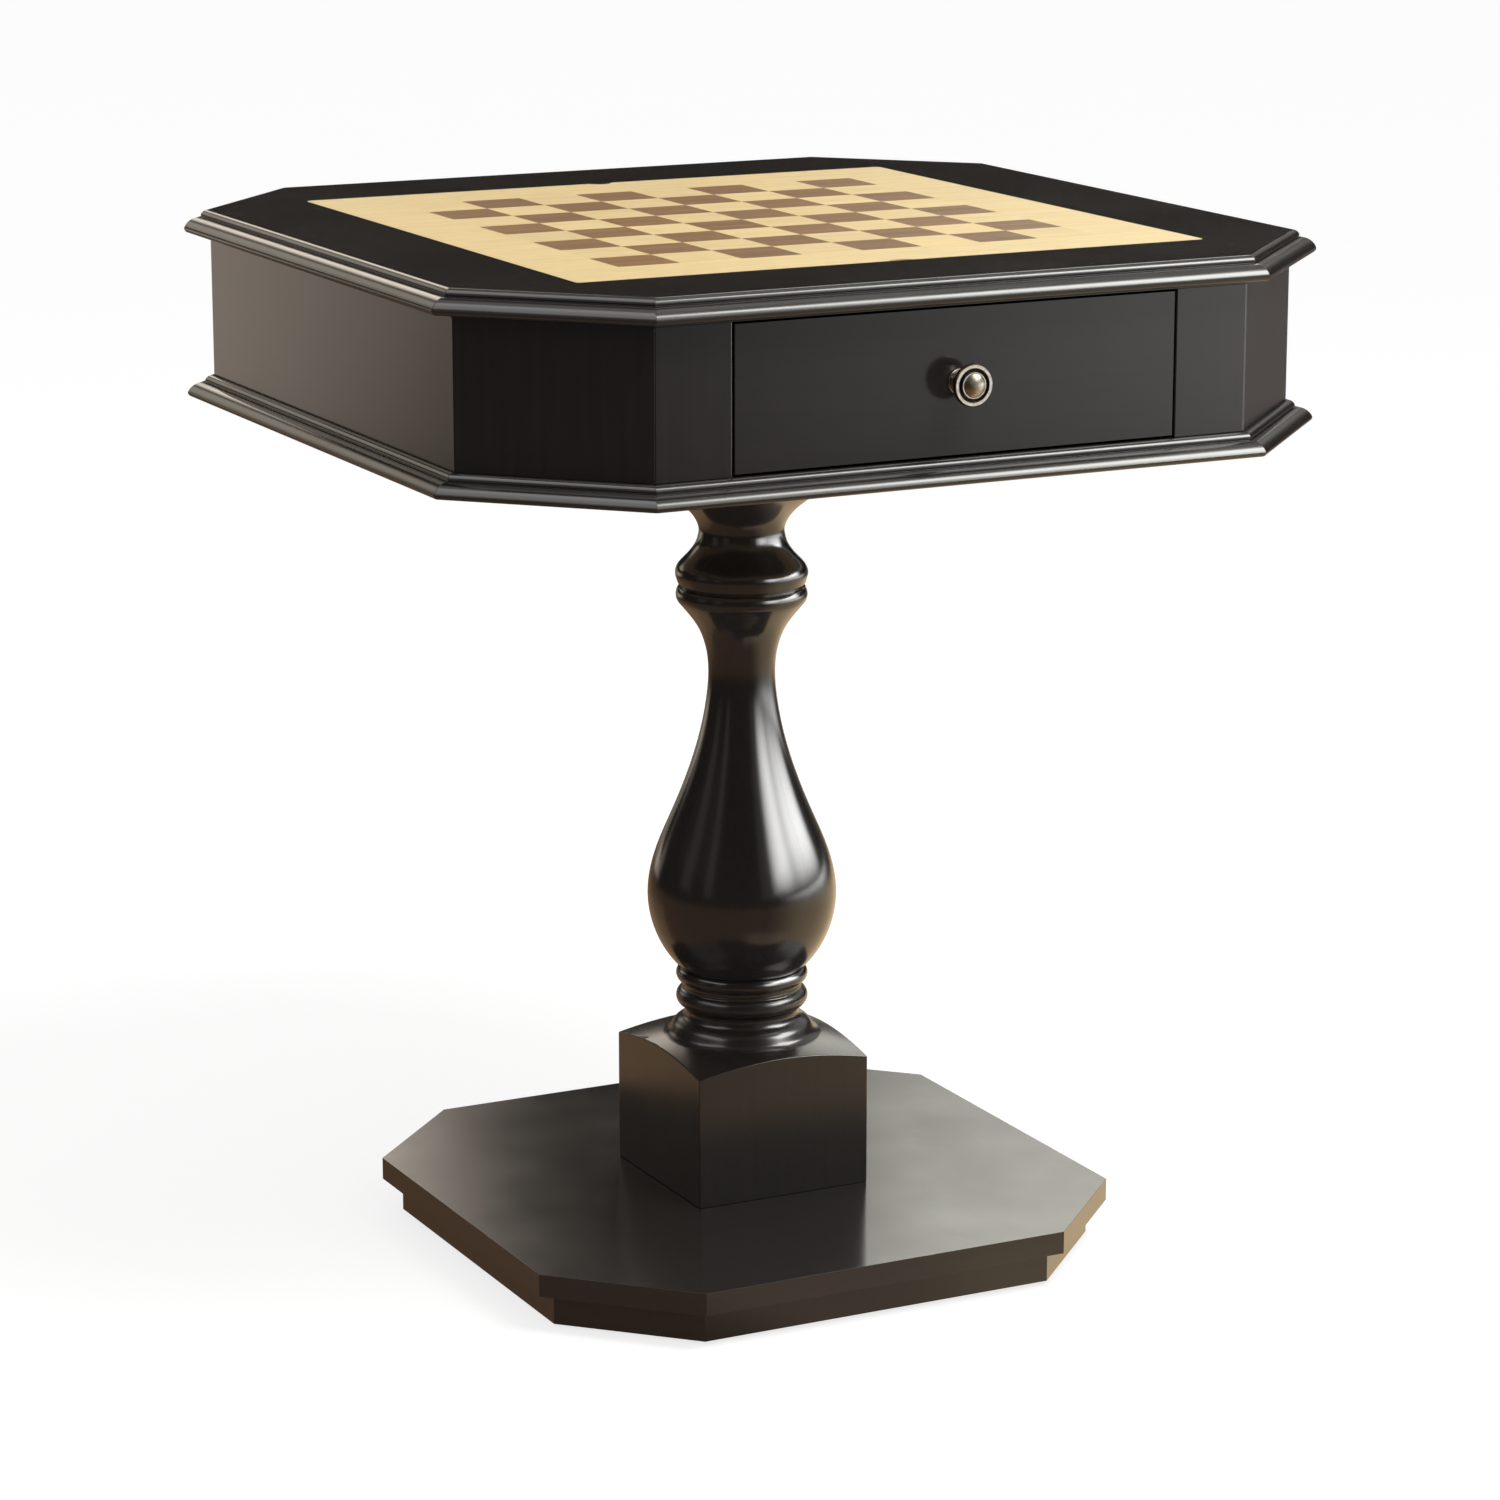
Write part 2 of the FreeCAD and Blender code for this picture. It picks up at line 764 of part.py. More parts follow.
def make_capital():
    """The turned head of the column: a bead that runs up through a waist into a wide cove."""
    hole = amount(ROD_HOLE)
    wide = amount("capital_bead_radius")
    groove = amount(COLLAR_GROOVE)
    foot = amount("collar_groove_height / 2")
    tall = amount("capital_turned_height")
    turned_top = amount(CAPITAL_TURNED)
    top = amount(CAPITAL_TOP)
    rim = amount("block_side / 2")
    socket = amount("upper_tenon_radius")
    socket_top = amount("upper_tenon_length + slide_gap")
    tenon = amount("head_tenon_radius")
    tenon_top = top + amount("head_tenon_length")
    # Height as a share of the turned height, and radius as a share of the bead's.
    outline_shares = [
        (0.0, 0.960),
        (0.045, 0.982),
        (0.100, 1.0),
        (0.169, 0.976),
        (0.231, 0.903),
        (0.293, 0.814),
        (0.355, 0.741),
        (0.417, 0.687),
        (0.479, 0.659),
        (0.540, 0.644),
        (0.613, 0.667),
        (0.667, 0.707),
        (0.720, 0.764),
        (0.827, 0.931),
        (0.920, 1.139),
    ]
    points = [
        point(wide * wide_share, foot + tall * high_share)
        for high_share, wide_share in outline_shares
    ]
    points.append(point(rim, turned_top))
    edges = line_through(
        [
            point(hole, socket_top),
            point(socket, socket_top),
            point(socket, 0),
            point(groove, 0),
            point(groove, foot),
            points[0],
        ]
    )
    edges.append(spline_through(points))
    edges += line_through(
        [
            points[-1],
            point(rim, top),
            point(tenon, top),
            point(tenon, tenon_top),
            point(hole, tenon_top),
            point(hole, socket_top),
        ]
    )
    keep(turned("column_capital", edges, CAPITAL_FOOT), "column_capital")


def square_corners(half):
    far = f"({half})"
    return [(far, f"-{far}"), (far, far), (f"-{far}", far), (f"-{far}", f"-{far}")]


def make_column_head():
    """Head block glued to the column, and the cleat that screws up into the case."""
    block = new_body("column_head_block")
    outline = new_sketch(block)
    draw(outline, square_corners("block_side / 2"))
    pad(block, outline, "head_block_height")
    rod_hole = new_sketch(block)
    draw_circles(rod_hole, CENTRE, ROD_HOLE)
    pocket(block, rod_hole)
    socket = new_sketch(block)
    draw_circles(socket, CENTRE, "head_tenon_radius")
    pocket(block, socket, "head_tenon_length + slide_gap")
    place(block, z=HEAD_BLOCK)

    cleat = new_body("column_cleat")
    outline = new_sketch(cleat)
    draw(outline, eight_sided("cleat_half", "cleat_corner_cut"))
    pad(cleat, outline, "cleat_thickness")
    rod_hole = new_sketch(cleat)
    draw_circles(rod_hole, CENTRE, ROD_HOLE)
    pocket(cleat, rod_hole)
    recess = new_sketch(cleat, lift="cleat_thickness")
    draw_circles(recess, CENTRE, NUT_RECESS_RADIUS)
    pocket(cleat, recess, NUT_RECESS_DEPTH, upwards=False)
    screw_clearance(cleat, CLEAT_SCREWS, "cleat_thickness")
    place(cleat, z=CLEAT)
    screws("cleat_screws", CLEAT_SCREWS, CLEAT, "cleat_thickness", "cleat_screw_grip")


def make_tie_rod():
    """Threaded rod through the whole column, with a washer and a nut at each end."""
    recess_top = f"glide_height + {NUT_RECESS_DEPTH}"
    recess_floor = f"{CASE_BOTTOM} - {NUT_RECESS_DEPTH}"
    rod = part_object(
        "Part::Cylinder",
        "rod",
        Radius="rod_radius",
        Height=f"{CASE_BOTTOM} - glide_height - 2 * rod_end",
    )
    place(rod, z="glide_height + rod_end")
    keep(rod, "tie_rod")

    washers = []
    nuts = []
    washer_levels = (f"{recess_top} - washer_thickness", recess_floor)
    nut_levels = (
        f"{recess_top} - washer_thickness - nut_height",
        f"{recess_floor} + washer_thickness",
    )
    for level in washer_levels:
        disc = part_object(
            "Part::Cylinder", "disc", Radius="washer_radius", Height="washer_thickness"
        )
        place(disc, z=level)
        hole = bore(CENTRE, "rod_radius", level, "washer_thickness", "washer_hole")
        washers.append(cut_from(disc, hole, "washer"))
    for level in nut_levels:
        hexagon = part_object(
            "Part::Prism", "hexagon", Circumradius="nut_radius", Height="nut_height"
        )
        hexagon.Polygon = 6
        place(hexagon, z=level)
        hole = bore(CENTRE, "rod_radius", level, "nut_height", "nut_hole")
        nuts.append(cut_from(hexagon, hole, "nut"))
    keep(group(washers, "washer_group"), "tie_rod_washers")
    keep(group(nuts, "nut_group"), "tie_rod_nuts")


def make_case():
    """Bottom panel, apron boards, front stiles, clipped corners and glue blocks."""
    bottom = new_body("case_bottom")
    outline = new_sketch(bottom)
    lap_cut = "case_corner_cut - lower_moulding_lap * (2 - sqrt(2))"
    draw(outline, eight_sided("case_half - lower_moulding_lap", lap_cut))
    pad(bottom, outline, "bottom_thickness")
    screw_pilots(bottom, CLEAT_SCREWS, "cleat_screw_grip")
    place(bottom, z=CASE_BOTTOM)

    for side in ("left", "right", "back"):
        board = new_body(f"apron_{side}")
        outline = new_sketch(board)
        draw(outline, mitred(SIDE, "0", "-apron_thickness"))
        pad(board, outline, "apron_height")
        place(board, z=APRON, turn=SIDE_TURNS[side])

    for side, hand in (("left", "-1"), ("right", "1")):
        stile = new_body(f"front_stile_{side}")
        outline = new_sketch(stile)
        face = "-case_half"
        behind = "-(case_half - apron_thickness)"
        draw(
            outline,
            [
                (f"{hand} * {DRAWER_OPENING}", face),
                (f"{hand} * {SIDE[1]}", face),
                (f"{hand} * ({SIDE[1]} - apron_thickness * {MITRE})", behind),
                (f"{hand} * {DRAWER_OPENING}", behind),
            ],
        )
        pad(stile, outline, "apron_height")
        place(stile, z=APRON)

    panels = new_body("corner_panels")
    outline = new_sketch(panels)
    draw(outline, mitred(CORNER, "0", "-apron_thickness"))
    panel = pad(panels, outline, "apron_height")
    repeat_round(panels, [panel], 4)
    place(panels, z=APRON, turn=45)

    blocks = new_body("glue_blocks")
    outline = new_sketch(blocks)
    inner_x = f"({SIDE[1]} - apron_thickness * {MITRE})"
    inner_y = "(case_half - apron_thickness)"
    for hand in ("1", "-1"):
        draw(
            outline,
            [
                (f"{hand} * {inner_x}", f"-{inner_y}"),
                (
                    f"{hand} * ({inner_x} + glue_block_leg / sqrt(2))",
                    f"-({inner_y} - glue_block_leg / sqrt(2))",
                ),
                (f"{hand} * ({inner_x} - glue_block_leg)", f"-{inner_y}"),
            ],
        )
    pair = pad(blocks, outline, "apron_height - support_thickness - glue_block_gap")
    repeat_round(blocks, [pair], 4)
    place(blocks, z=APRON)


def make_mouldings():
    """Mitred mouldings: a thumb, a quirk and an ovolo, upright under the case and hung from the
    edge of the top."""
    thumb = "(moulding_flat + thumb_width)"
    fillet = f"({thumb} - quirk_width)"
    lower_outer = f"({fillet} + lower_ovolo_width)"
    shelf = "(bottom_thickness - thumb_height - quirk_height)"
    lower_inner = "-lower_moulding_lap"
    lower = [
        (lower_inner, "0"),
        (lower_inner, "bottom_thickness"),
        ("moulding_flat", "bottom_thickness"),
        (thumb, "bottom_thickness - thumb_height", 1, "thumb_bulge"),
        (fillet, "bottom_thickness - thumb_height"),
        (fillet, shelf),
        (lower_outer, "lower_nose_height", 1, "lower_ovolo_bulge"),
        (f"({lower_outer} - lower_nose_return)", "0", 1, "lower_nose_bulge"),
    ]
    upper_outer = f"({fillet} + upper_ovolo_width)"
    high = "(rail_thickness - upper_moulding_lift)"
    upper_shelf = f"({high} - thumb_height - quirk_height)"
    upper_inner = "moulding_flat"
    upper = [
        (upper_inner, "0"),
        (upper_inner, high),
        (thumb, f"{high} - thumb_height", 1, "thumb_bulge"),
        (fillet, f"{high} - thumb_height"),
        (fillet, upper_shelf),
        (upper_outer, "upper_nose_height", 1, "upper_ovolo_bulge"),
        (f"({upper_outer} - upper_nose_return)", "0", 1, "upper_nose_bulge"),
    ]
    hung = f"{RAIL} + upper_moulding_lift"
    for side, turn in SIDE_TURNS.items():
        moulding(
            f"lower_moulding_{side}", SIDE, lower, lower_outer, lower_inner, CASE_BOTTOM, turn
        )
        moulding(f"upper_moulding_{side}", SIDE, upper, upper_outer, upper_inner, hung, turn)
    moulding(
        "lower_moulding_corners",
        CORNER,
        lower,
        lower_outer,
        lower_inner,
        CASE_BOTTOM,
        45,
        copies=4,
    )
    moulding(
        "upper_moulding_corners",
        CORNER,
        upper,
        upper_outer,
        upper_inner,
        hung,
        45,
        copies=4,
    )


def make_top_frame():
    """Four rails mitred round the square opening, and the screwed panel that closes it below."""
    middle = "((2 * case_half - case_corner_cut) / 2 + moulding_flat / sqrt(2))"
    edge = "(case_half + moulding_flat)"
    half_edge = f"({SIDE[1]} + moulding_flat * {MITRE})"
    hole = BOARD_OPENING
    screw_line = f"({BOARD_OPENING} + support_lap / 2)"
    for side, turn in SIDE_TURNS.items():
        rail = new_body(f"top_rail_{side}")
        outline = new_sketch(rail)
        draw(
            outline,
            [
                (f"-{hole}", f"-{hole}"),
                (f"-{middle}", f"-{middle}"),
                (f"-{half_edge}", f"-{edge}"),
                (half_edge, f"-{edge}"),
                (middle, f"-{middle}"),
                (hole, f"-{hole}"),
            ],
        )
        pad(rail, outline, "rail_thickness")
        pilots = [(f"{hand} * support_screw_place", f"-{screw_line}") for hand in ("-1", "1")]
        screw_pilots(rail, pilots, "support_screw_grip")
        place(rail, z=RAIL, turn=turn)

    places = []
    for hand in ("-1", "1"):
        for away in ("-1", "1"):
            places.append((f"{hand} * support_screw_place", f"{away} * {screw_line}"))
            places.append((f"{away} * {screw_line}", f"{hand} * support_screw_place"))
    level = f"{RAIL} - support_thickness"
    panel = loose_body("support_square")
    outline = new_sketch(panel)
    draw(outline, square_corners(f"{BOARD_OPENING} + support_lap"))
    pad(panel, outline, "support_thickness")
    screw_clearance(panel, places, "support_thickness")
    place(panel, z=level)
    inside = loose_body("case_inside")
    outline = new_sketch(inside)
    inner = "(apron_thickness + support_corner_play)"
    draw(outline, eight_sided(f"case_half - {inner}", f"case_corner_cut - {inner} * (2 - sqrt(2))"))
    pad(inside, outline, "support_thickness")
    place(inside, z=level)
    fitted = doc.addObject("Part::Common", "support_fitted")
    fitted.Base = panel
    fitted.Tool = inside
    keep(fitted, "board_support")
    screws("support_screws", places, level, "support_thickness", "support_screw_grip")


def box_between(body, low, high):
    """Solid block between two corners, given as expressions in X, Y and Z."""
    sketch = new_sketch(body, lift=low[2])
    draw(
        sketch,
        [(low[0], low[1]), (high[0], low[1]), (high[0], high[1]), (low[0], high[1])],
    )
    return pad(body, sketch, f"({high[2]}) - ({low[2]})")


# The drawer's places in the case, from its opening and its running gaps.
APRON_BACK = "(-(case_half - apron_thickness))"
BOX_HALF = f"({DRAWER_OPENING} - drawer_box_inset)"
SIDE_LEVEL = "(runner_base_thickness + slide_gap)"
KICKER = "(apron_height - support_thickness - kicker_thickness)"
SIDE_TOP = f"({KICKER} - kicker_gap)"
BOX_REAR = f"({APRON_BACK} + drawer_depth)"


def make_runners():
    """Runners on the case bottom, kickers under the support panel, and stops behind."""
    for side, hand in (("left", "-1"), ("right", "1")):
        runner = new_body(f"drawer_runner_{side}")
        sketch = new_sketch(runner, "XZ_Plane", lift=f"-{APRON_BACK}")
        lip_inner = f"({BOX_HALF} + slide_gap)"
        lip_outer = f"({lip_inner} + runner_lip_width)"
        ledge_edge = f"({lip_inner} - runner_ledge_width)"
        draw(
            sketch,
            [
                (f"{hand} * {ledge_edge}", "0"),
                (f"{hand} * {lip_outer}", "0"),
                (f"{hand} * {lip_outer}", "runner_lip_height"),
                (f"{hand} * {lip_inner}", "runner_lip_height"),
                (f"{hand} * {lip_inner}", "runner_base_thickness"),
                (f"{hand} * {ledge_edge}", "runner_base_thickness"),
            ],
        )
        strip = pad(runner, sketch, "drawer_depth + slide_gap + stop_thickness")
        strip.Reversed = True
        place(runner, z=APRON)

    kickers = new_body("drawer_kickers")
    for hand in ("-1", "1"):
        inner_end = (f"{hand} * ({BOX_HALF} - kicker_width / 2)", f"-{BOARD_OPENING}", KICKER)
        outer_end = (
            f"{hand} * ({BOX_HALF} + kicker_width / 2)",
            f"{BOX_REAR} + kicker_overreach",
            "apron_height - support_thickness",
        )
        box_between(kickers, inner_end, outer_end)
    place(kickers, z=APRON)

    stops = new_body("drawer_stops")
    stop_place = f"({BOX_HALF} - stop_inset)"
    for hand in ("-1", "1"):
        box_between(
            stops,
            (f"{hand} * {stop_place} - stop_width / 2", f"{BOX_REAR} + slide_gap", "0"),
            (
                f"{hand} * {stop_place} + stop_width / 2",
                f"{BOX_REAR} + slide_gap + stop_thickness",
                "stop_height",
            ),
        )
    place(stops, z=APRON)


def make_drawer():
    """Front, sides let into it, back, and a bottom panel in grooves."""
    inside = f"({BOX_HALF} - drawer_side_thickness)"
    tongue = f"({APRON_BACK} - drawer_tongue)"
    bottom_low = f"({SIDE_LEVEL} + drawer_bottom_lift)"
    bottom_high = f"({bottom_low} + drawer_bottom_thickness)"
    groove = f"({inside} + drawer_groove_depth)"
    groove_front = f"({APRON_BACK} - drawer_groove_depth)"

    front = new_body("drawer_front")
    front_half = f"({DRAWER_OPENING} - drawer_gap)"
    box_between(
        front,
        (f"-{front_half}", "-case_half", "drawer_gap"),
        (front_half, APRON_BACK, "apron_height - drawer_gap"),
    )
    sockets = new_sketch(front, lift=SIDE_LEVEL)
    for hand in ("-1", "1"):
        draw(
            sockets,
            [
                (f"{hand} * {inside}", tongue),
                (f"{hand} * {BOX_HALF}", tongue),
                (f"{hand} * {BOX_HALF}", APRON_BACK),
                (f"{hand} * {inside}", APRON_BACK),
            ],
        )
    pocket(front, sockets, f"{SIDE_TOP} - {SIDE_LEVEL}")
    slot = new_sketch(front, lift=bottom_low)
    draw(
        slot,
        [
            (f"-{inside}", groove_front),
            (inside, groove_front),
            (inside, APRON_BACK),
            (f"-{inside}", APRON_BACK),
        ],
    )
    pocket(front, slot, "drawer_bottom_thickness")
    screw_hole = new_sketch(front, "XZ_Plane")
    draw_circles(screw_hole, [("0", "apron_height / 2")], "knob_screw_radius")
    pocket(front, screw_hole)
    place(front, z=APRON)

    for side, hand in (("left", "-1"), ("right", "1")):
        board = new_body(f"drawer_side_{side}")
        box_between(
            board,
            (f"{hand} * {inside}", tongue, SIDE_LEVEL),
            (f"{hand} * {BOX_HALF}", BOX_REAR, SIDE_TOP),
        )
        slot = new_sketch(board, lift=bottom_low)
        draw(
            slot,
            [
                (f"{hand} * {inside}", groove_front),
                (f"{hand} * {groove}", groove_front),
                (f"{hand} * {groove}", BOX_REAR),
                (f"{hand} * {inside}", BOX_REAR),
            ],
        )
        pocket(board, slot, "drawer_bottom_thickness")
        place(board, z=APRON)

    back = new_body("drawer_back")
    box_between(
        back,
        (f"-{inside}", f"{BOX_REAR} - drawer_side_thickness", bottom_high),
        (inside, BOX_REAR, SIDE_TOP),
    )
    place(back, z=APRON)

    bottom = new_body("drawer_bottom")
    box_between(
        bottom,
        (f"-{groove}", groove_front, bottom_low),
        (groove, BOX_REAR, bottom_high),
    )
    place(bottom, z=APRON)


def make_knob():
    """Turned knob: rosette, waisted stem, rim, ring, groove, collar and dome; and its screw."""
    rim_top = "(knob_rim_height + knob_rim_width)"
    ring_inner = "(knob_rim_radius - knob_ring_width)"
    collar_radius = f"({ring_inner} - knob_groove_width)"
    groove_floor = f"({rim_top} - knob_groove_depth)"
    collar_top = f"({groove_floor} + knob_collar_height)"
    dome_radius = f"({collar_radius} - knob_collar_width)"
    dome_foot = f"({collar_top} - knob_dome_sink)"
    dome_top = f"({dome_foot} + knob_dome_height)"
    ogee_top = "knob_rosette_height + knob_ogee_height"
    knob = new_body("drawer_knob")
    sketch = new_sketch(knob, "XZ_Plane")
    draw(
        sketch,
        [
            ("knob_screw_radius", "0"),
            ("knob_rosette_radius", "0"),
            ("knob_rosette_radius", "knob_rosette_height"),
            ("knob_stem_radius", ogee_top, -1, "knob_ogee_bulge"),
            ("knob_stem_radius", "knob_stem_height"),
            ("knob_rim_radius", "knob_rim_height", -1, "knob_flare_bulge"),
            ("knob_rim_radius", rim_top, 1, "knob_rim_bulge"),
            (ring_inner, rim_top),
            (ring_inner, groove_floor),
            (collar_radius, groove_floor),
            (collar_radius, collar_top),
            (dome_radius, collar_top),
            (dome_radius, dome_foot),
            ("knob_dome_flat", dome_top, 1, "knob_dome_bulge"),
            ("0", dome_top),
            ("0", "knob_screw_grip"),
            ("knob_screw_radius", "knob_screw_grip"),
        ],
    )
    spin = knob.newObject("PartDesign::Revolution", "knob_revolution")
    spin.Profile = sketch
    spin.ReferenceAxis = (sketch, ["V_Axis"])
    spin.Angle = 360
    knob.Tip = spin
    level = f"{APRON} + apron_height / 2"
    outwards = FreeCAD.Rotation(FreeCAD.Vector(1, 0, 0), 90)
    place(knob, y="-case_half", z=level, lean=outwards)

    reach = "apron_thickness + knob_screw_grip"
    shank = part_object(
        "Part::Cylinder", "knob_screw_shank", Radius="knob_screw_radius", Height=reach
    )
    place(shank, y=APRON_BACK, z=level, lean=outwards)
    head = part_object(
        "Part::Cylinder",
        "knob_screw_head",
        Radius="knob_screw_head_radius",
        Height="knob_screw_head_height",
    )
    place(head, y=f"{APRON_BACK} + knob_screw_head_height", z=level, lean=outwards)
    screw = doc.addObject("Part::Fuse", "knob_screw")
    screw.Base = shank
    screw.Tool = head
    keep(screw, "knob_screw")


# The board lies in its opening with a small fit all round and under it.
BOARD_HALF = f"({BOARD_OPENING} - board_fit)"
CORE_HALF = f"({BOARD_HALF} - edging_width)"
BOARD_LEVEL = f"({RAIL} + board_fit)"
CORE_THICKNESS = "(rail_thickness - board_fit - 2 * veneer_thickness)"
CORE_LEVEL = f"({BOARD_LEVEL} + veneer_thickness)"
TOP_VENEER = f"({CORE_LEVEL} + {CORE_THICKNESS})"
SQUARE = f"(({BOARD_HALF} - chess_border_width) / 4)"
NOTCH_RADIUS = "((notch_width^2 / 4 + notch_depth^2) / (2 * notch_depth))"
NOTCHES = [
    ("0", f"{hand} * ({BOARD_HALF} - notch_depth + {NOTCH_RADIUS})") for hand in ("-1", "1")
]
ROUND_IN = "board_corner_radius * (1 - sqrt(2) / 2)"


def make_board():
    """Core, edging with finger notches, and the chess face of border and squares."""
    core = new_body("board_core")
    outline = new_sketch(core)
    draw(outline, square_corners(CORE_HALF))
    pad(core, outline, CORE_THICKNESS)
    place(core, z=CORE_LEVEL)

    rounded = f"({BOARD_HALF} - board_corner_radius)"
    notched = new_body("board_edging_notched")
    outline = new_sketch(notched)
    draw(
        outline,
        [
            (f"-{BOARD_HALF}", f"-{CORE_HALF}"),
            (f"-{BOARD_HALF}", f"-{rounded}"),
            (f"-{rounded}", f"-{BOARD_HALF}", 1, ROUND_IN),
            (rounded, f"-{BOARD_HALF}"),
            (BOARD_HALF, f"-{rounded}", 1, ROUND_IN),
            (BOARD_HALF, f"-{CORE_HALF}"),
        ],
    )
    strip = pad(notched, outline, CORE_THICKNESS)
    notch = new_sketch(notched)
    draw_circles(notch, NOTCHES[:1], NOTCH_RADIUS)
    cut = pocket(notched, notch)
    repeat_round(notched, [strip, cut], 2)
    place(notched, z=CORE_LEVEL)

    plain = new_body("board_edging_plain")
    outline = new_sketch(plain)
    draw(
        outline,
        [
            (CORE_HALF, f"-{CORE_HALF}"),
            (BOARD_HALF, f"-{CORE_HALF}"),
            (BOARD_HALF, CORE_HALF),
            (CORE_HALF, CORE_HALF),
        ],
    )
    strip = pad(plain, outline, CORE_THICKNESS)
    repeat_round(plain, [strip], 2)
    place(plain, z=CORE_LEVEL)

    border = veneer_border("chess_border", f"(4 * {SQUARE})", TOP_VENEER)
    keep(group(border, "chess_border_strips"), "chess_border")

    for shade, parity in (("dark", 0), ("light", 1)):
        tiles = []
        for column in range(8):
            for rank in range(8):
                if (column + rank) % 2 != parity:
                    continue
                tile = part_object(
                    "Part::Box",
                    f"{shade}_tile",
                    Length=SQUARE,
                    Width=SQUARE,
                    Height="veneer_thickness",
                )
                place(tile, f"{column - 4} * {SQUARE}", f"{rank - 4} * {SQUARE}", TOP_VENEER)
                tiles.append(tile)
        keep(group(tiles, f"{shade}_tiles"), f"chess_squares_{shade}")


def veneer_border(name, inner_half, level):
    """Four veneer strips mitred at the corners, rounded and notched like the board's edge."""
    rounded = f"({BOARD_HALF} - board_corner_radius)"
    corner = f"({BOARD_HALF} - {ROUND_IN})"
    eighth = "board_corner_radius * (1 - sqrt(2 + sqrt(2)) / 2)"
    strips = []
    for side, turn in SIDE_TURNS.items():
        strip = loose_body(f"{name}_{side}")
        outline = new_sketch(strip)
        draw(
            outline,
            [
                (f"-{inner_half}", f"-{inner_half}"),
                (f"-{corner}", f"-{corner}"),
                (f"-{rounded}", f"-{BOARD_HALF}", 1, eighth),
                (rounded, f"-{BOARD_HALF}"),
                (corner, f"-{corner}", 1, eighth),
                (inner_half, f"-{inner_half}"),
            ],
        )
        pad(strip, outline, "veneer_thickness")
        if side in ("front", "back"):
            notch = new_sketch(strip)
            draw_circles(notch, NOTCHES[:1], NOTCH_RADIUS)
            pocket(strip, notch)
        place(strip, z=level, turn=turn)
        strips.append(strip)
    return strips


def make_backgammon_side():
    """The under face: border, bar, field and two rows of twelve points in two shades."""
    field_half = f"({BOARD_HALF} - field_border)"
    bar_half = "(field_bar_width / 2)"
    point_width = f"(({field_half} - {bar_half}) / 6)"
    surround = veneer_border("backgammon_border", field_half, BOARD_LEVEL)
    bar = loose_body("backgammon_bar")
    box_between(
        bar,
        (f"-{bar_half}", f"-{field_half}", "0"),
        (bar_half, field_half, "veneer_thickness"),
    )
    place(bar, z=BOARD_LEVEL)
    keep(group(surround + [bar], "backgammon_strips"), "backgammon_surround")

    field = new_body("backgammon_field")
    sketch = new_sketch(field)
    tip = "point_tip_place"
    for hand in ("-1", "1"):
        near_row = []
        far_row = []
        for number in range(6):
            root = f"{hand} * ({bar_half} + {number} * {point_width})"
            apex = f"{hand} * ({bar_half} + {number + 0.5} * {point_width})"
            near_row += [(root, f"-{field_half}"), (apex, f"-{tip}")]
            far_row += [(root, field_half), (apex, tip)]
        near_row.append((f"{hand} * {field_half}", f"-{field_half}"))
        far_row.append((f"{hand} * {field_half}", field_half))
        draw(sketch, near_row + far_row[::-1])
    pad(field, sketch, "veneer_thickness")
    place(field, z=BOARD_LEVEL)

    for shade, parity in (("dark", 0), ("light", 1)):
        points = new_body(f"backgammon_points_{shade}")
        sketch = new_sketch(points)
        for hand in ("-1", "1"):
            for number in range(6):
                for row, away in enumerate(("-1", "1")):
                    side = 0 if hand == "1" else 1
                    if (number + row + side) % 2 != parity:
                        continue
                    root = f"{hand} * ({bar_half} + {number} * {point_width})"
                    apex = f"{hand} * ({bar_half} + {number + 0.5} * {point_width})"
                    end = f"{hand} * ({bar_half} + {number + 1} * {point_width})"
                    draw(
                        sketch,
                        [
                            (root, f"{away} * {field_half}"),
                            (apex, f"{away} * {tip}"),
                            (end, f"{away} * {field_half}"),
                        ],
                    )
        pad(points, sketch, "veneer_thickness")
        place(points, z=BOARD_LEVEL)


def write_parts():
    """See that every object and every piece is sound, then write one file for each piece."""
    doc.recompute()
    for thing in doc.Objects:
        if {"Invalid", "Error"} & set(thing.State):
            raise ValueError(f"{thing.Label} failed: {thing.State}")
    for piece in pieces:
        if piece.Shape.isNull() or not piece.Shape.isValid() or not piece.Shape.Solids:
            raise ValueError(f"{piece.Label} has no sound shape")
    os.makedirs("parts", exist_ok=True)
    for piece in pieces:
        piece.Shape.exportStep(f"parts/{piece.Label}.step")
        print(f"{piece.Label}: {len(piece.Shape.Solids)} solids, {piece.Shape.Volume:.0f} mm3")


make_base()
make_block()
make_vase()
make_capital()
make_column_head()
make_tie_rod()
make_case()
make_mouldings()
make_top_frame()
make_runners()
make_drawer()
make_knob()
make_board()
make_backgammon_side()
write_parts()
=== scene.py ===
import math

import bpy
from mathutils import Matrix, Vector


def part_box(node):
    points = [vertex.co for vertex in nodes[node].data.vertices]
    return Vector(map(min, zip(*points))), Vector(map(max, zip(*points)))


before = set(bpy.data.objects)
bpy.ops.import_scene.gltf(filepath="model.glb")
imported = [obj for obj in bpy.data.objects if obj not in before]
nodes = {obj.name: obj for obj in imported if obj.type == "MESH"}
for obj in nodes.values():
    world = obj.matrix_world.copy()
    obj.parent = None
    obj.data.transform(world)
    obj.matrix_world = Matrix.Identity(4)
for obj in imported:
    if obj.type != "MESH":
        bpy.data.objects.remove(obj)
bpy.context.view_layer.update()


# Base glides.
# Four moulded discs, nailed under the lower plate, keep the lacquer off the floor. They are a
# dark grey plastic with the fine sparkle of a spark-eroded mould and floor dust in it.

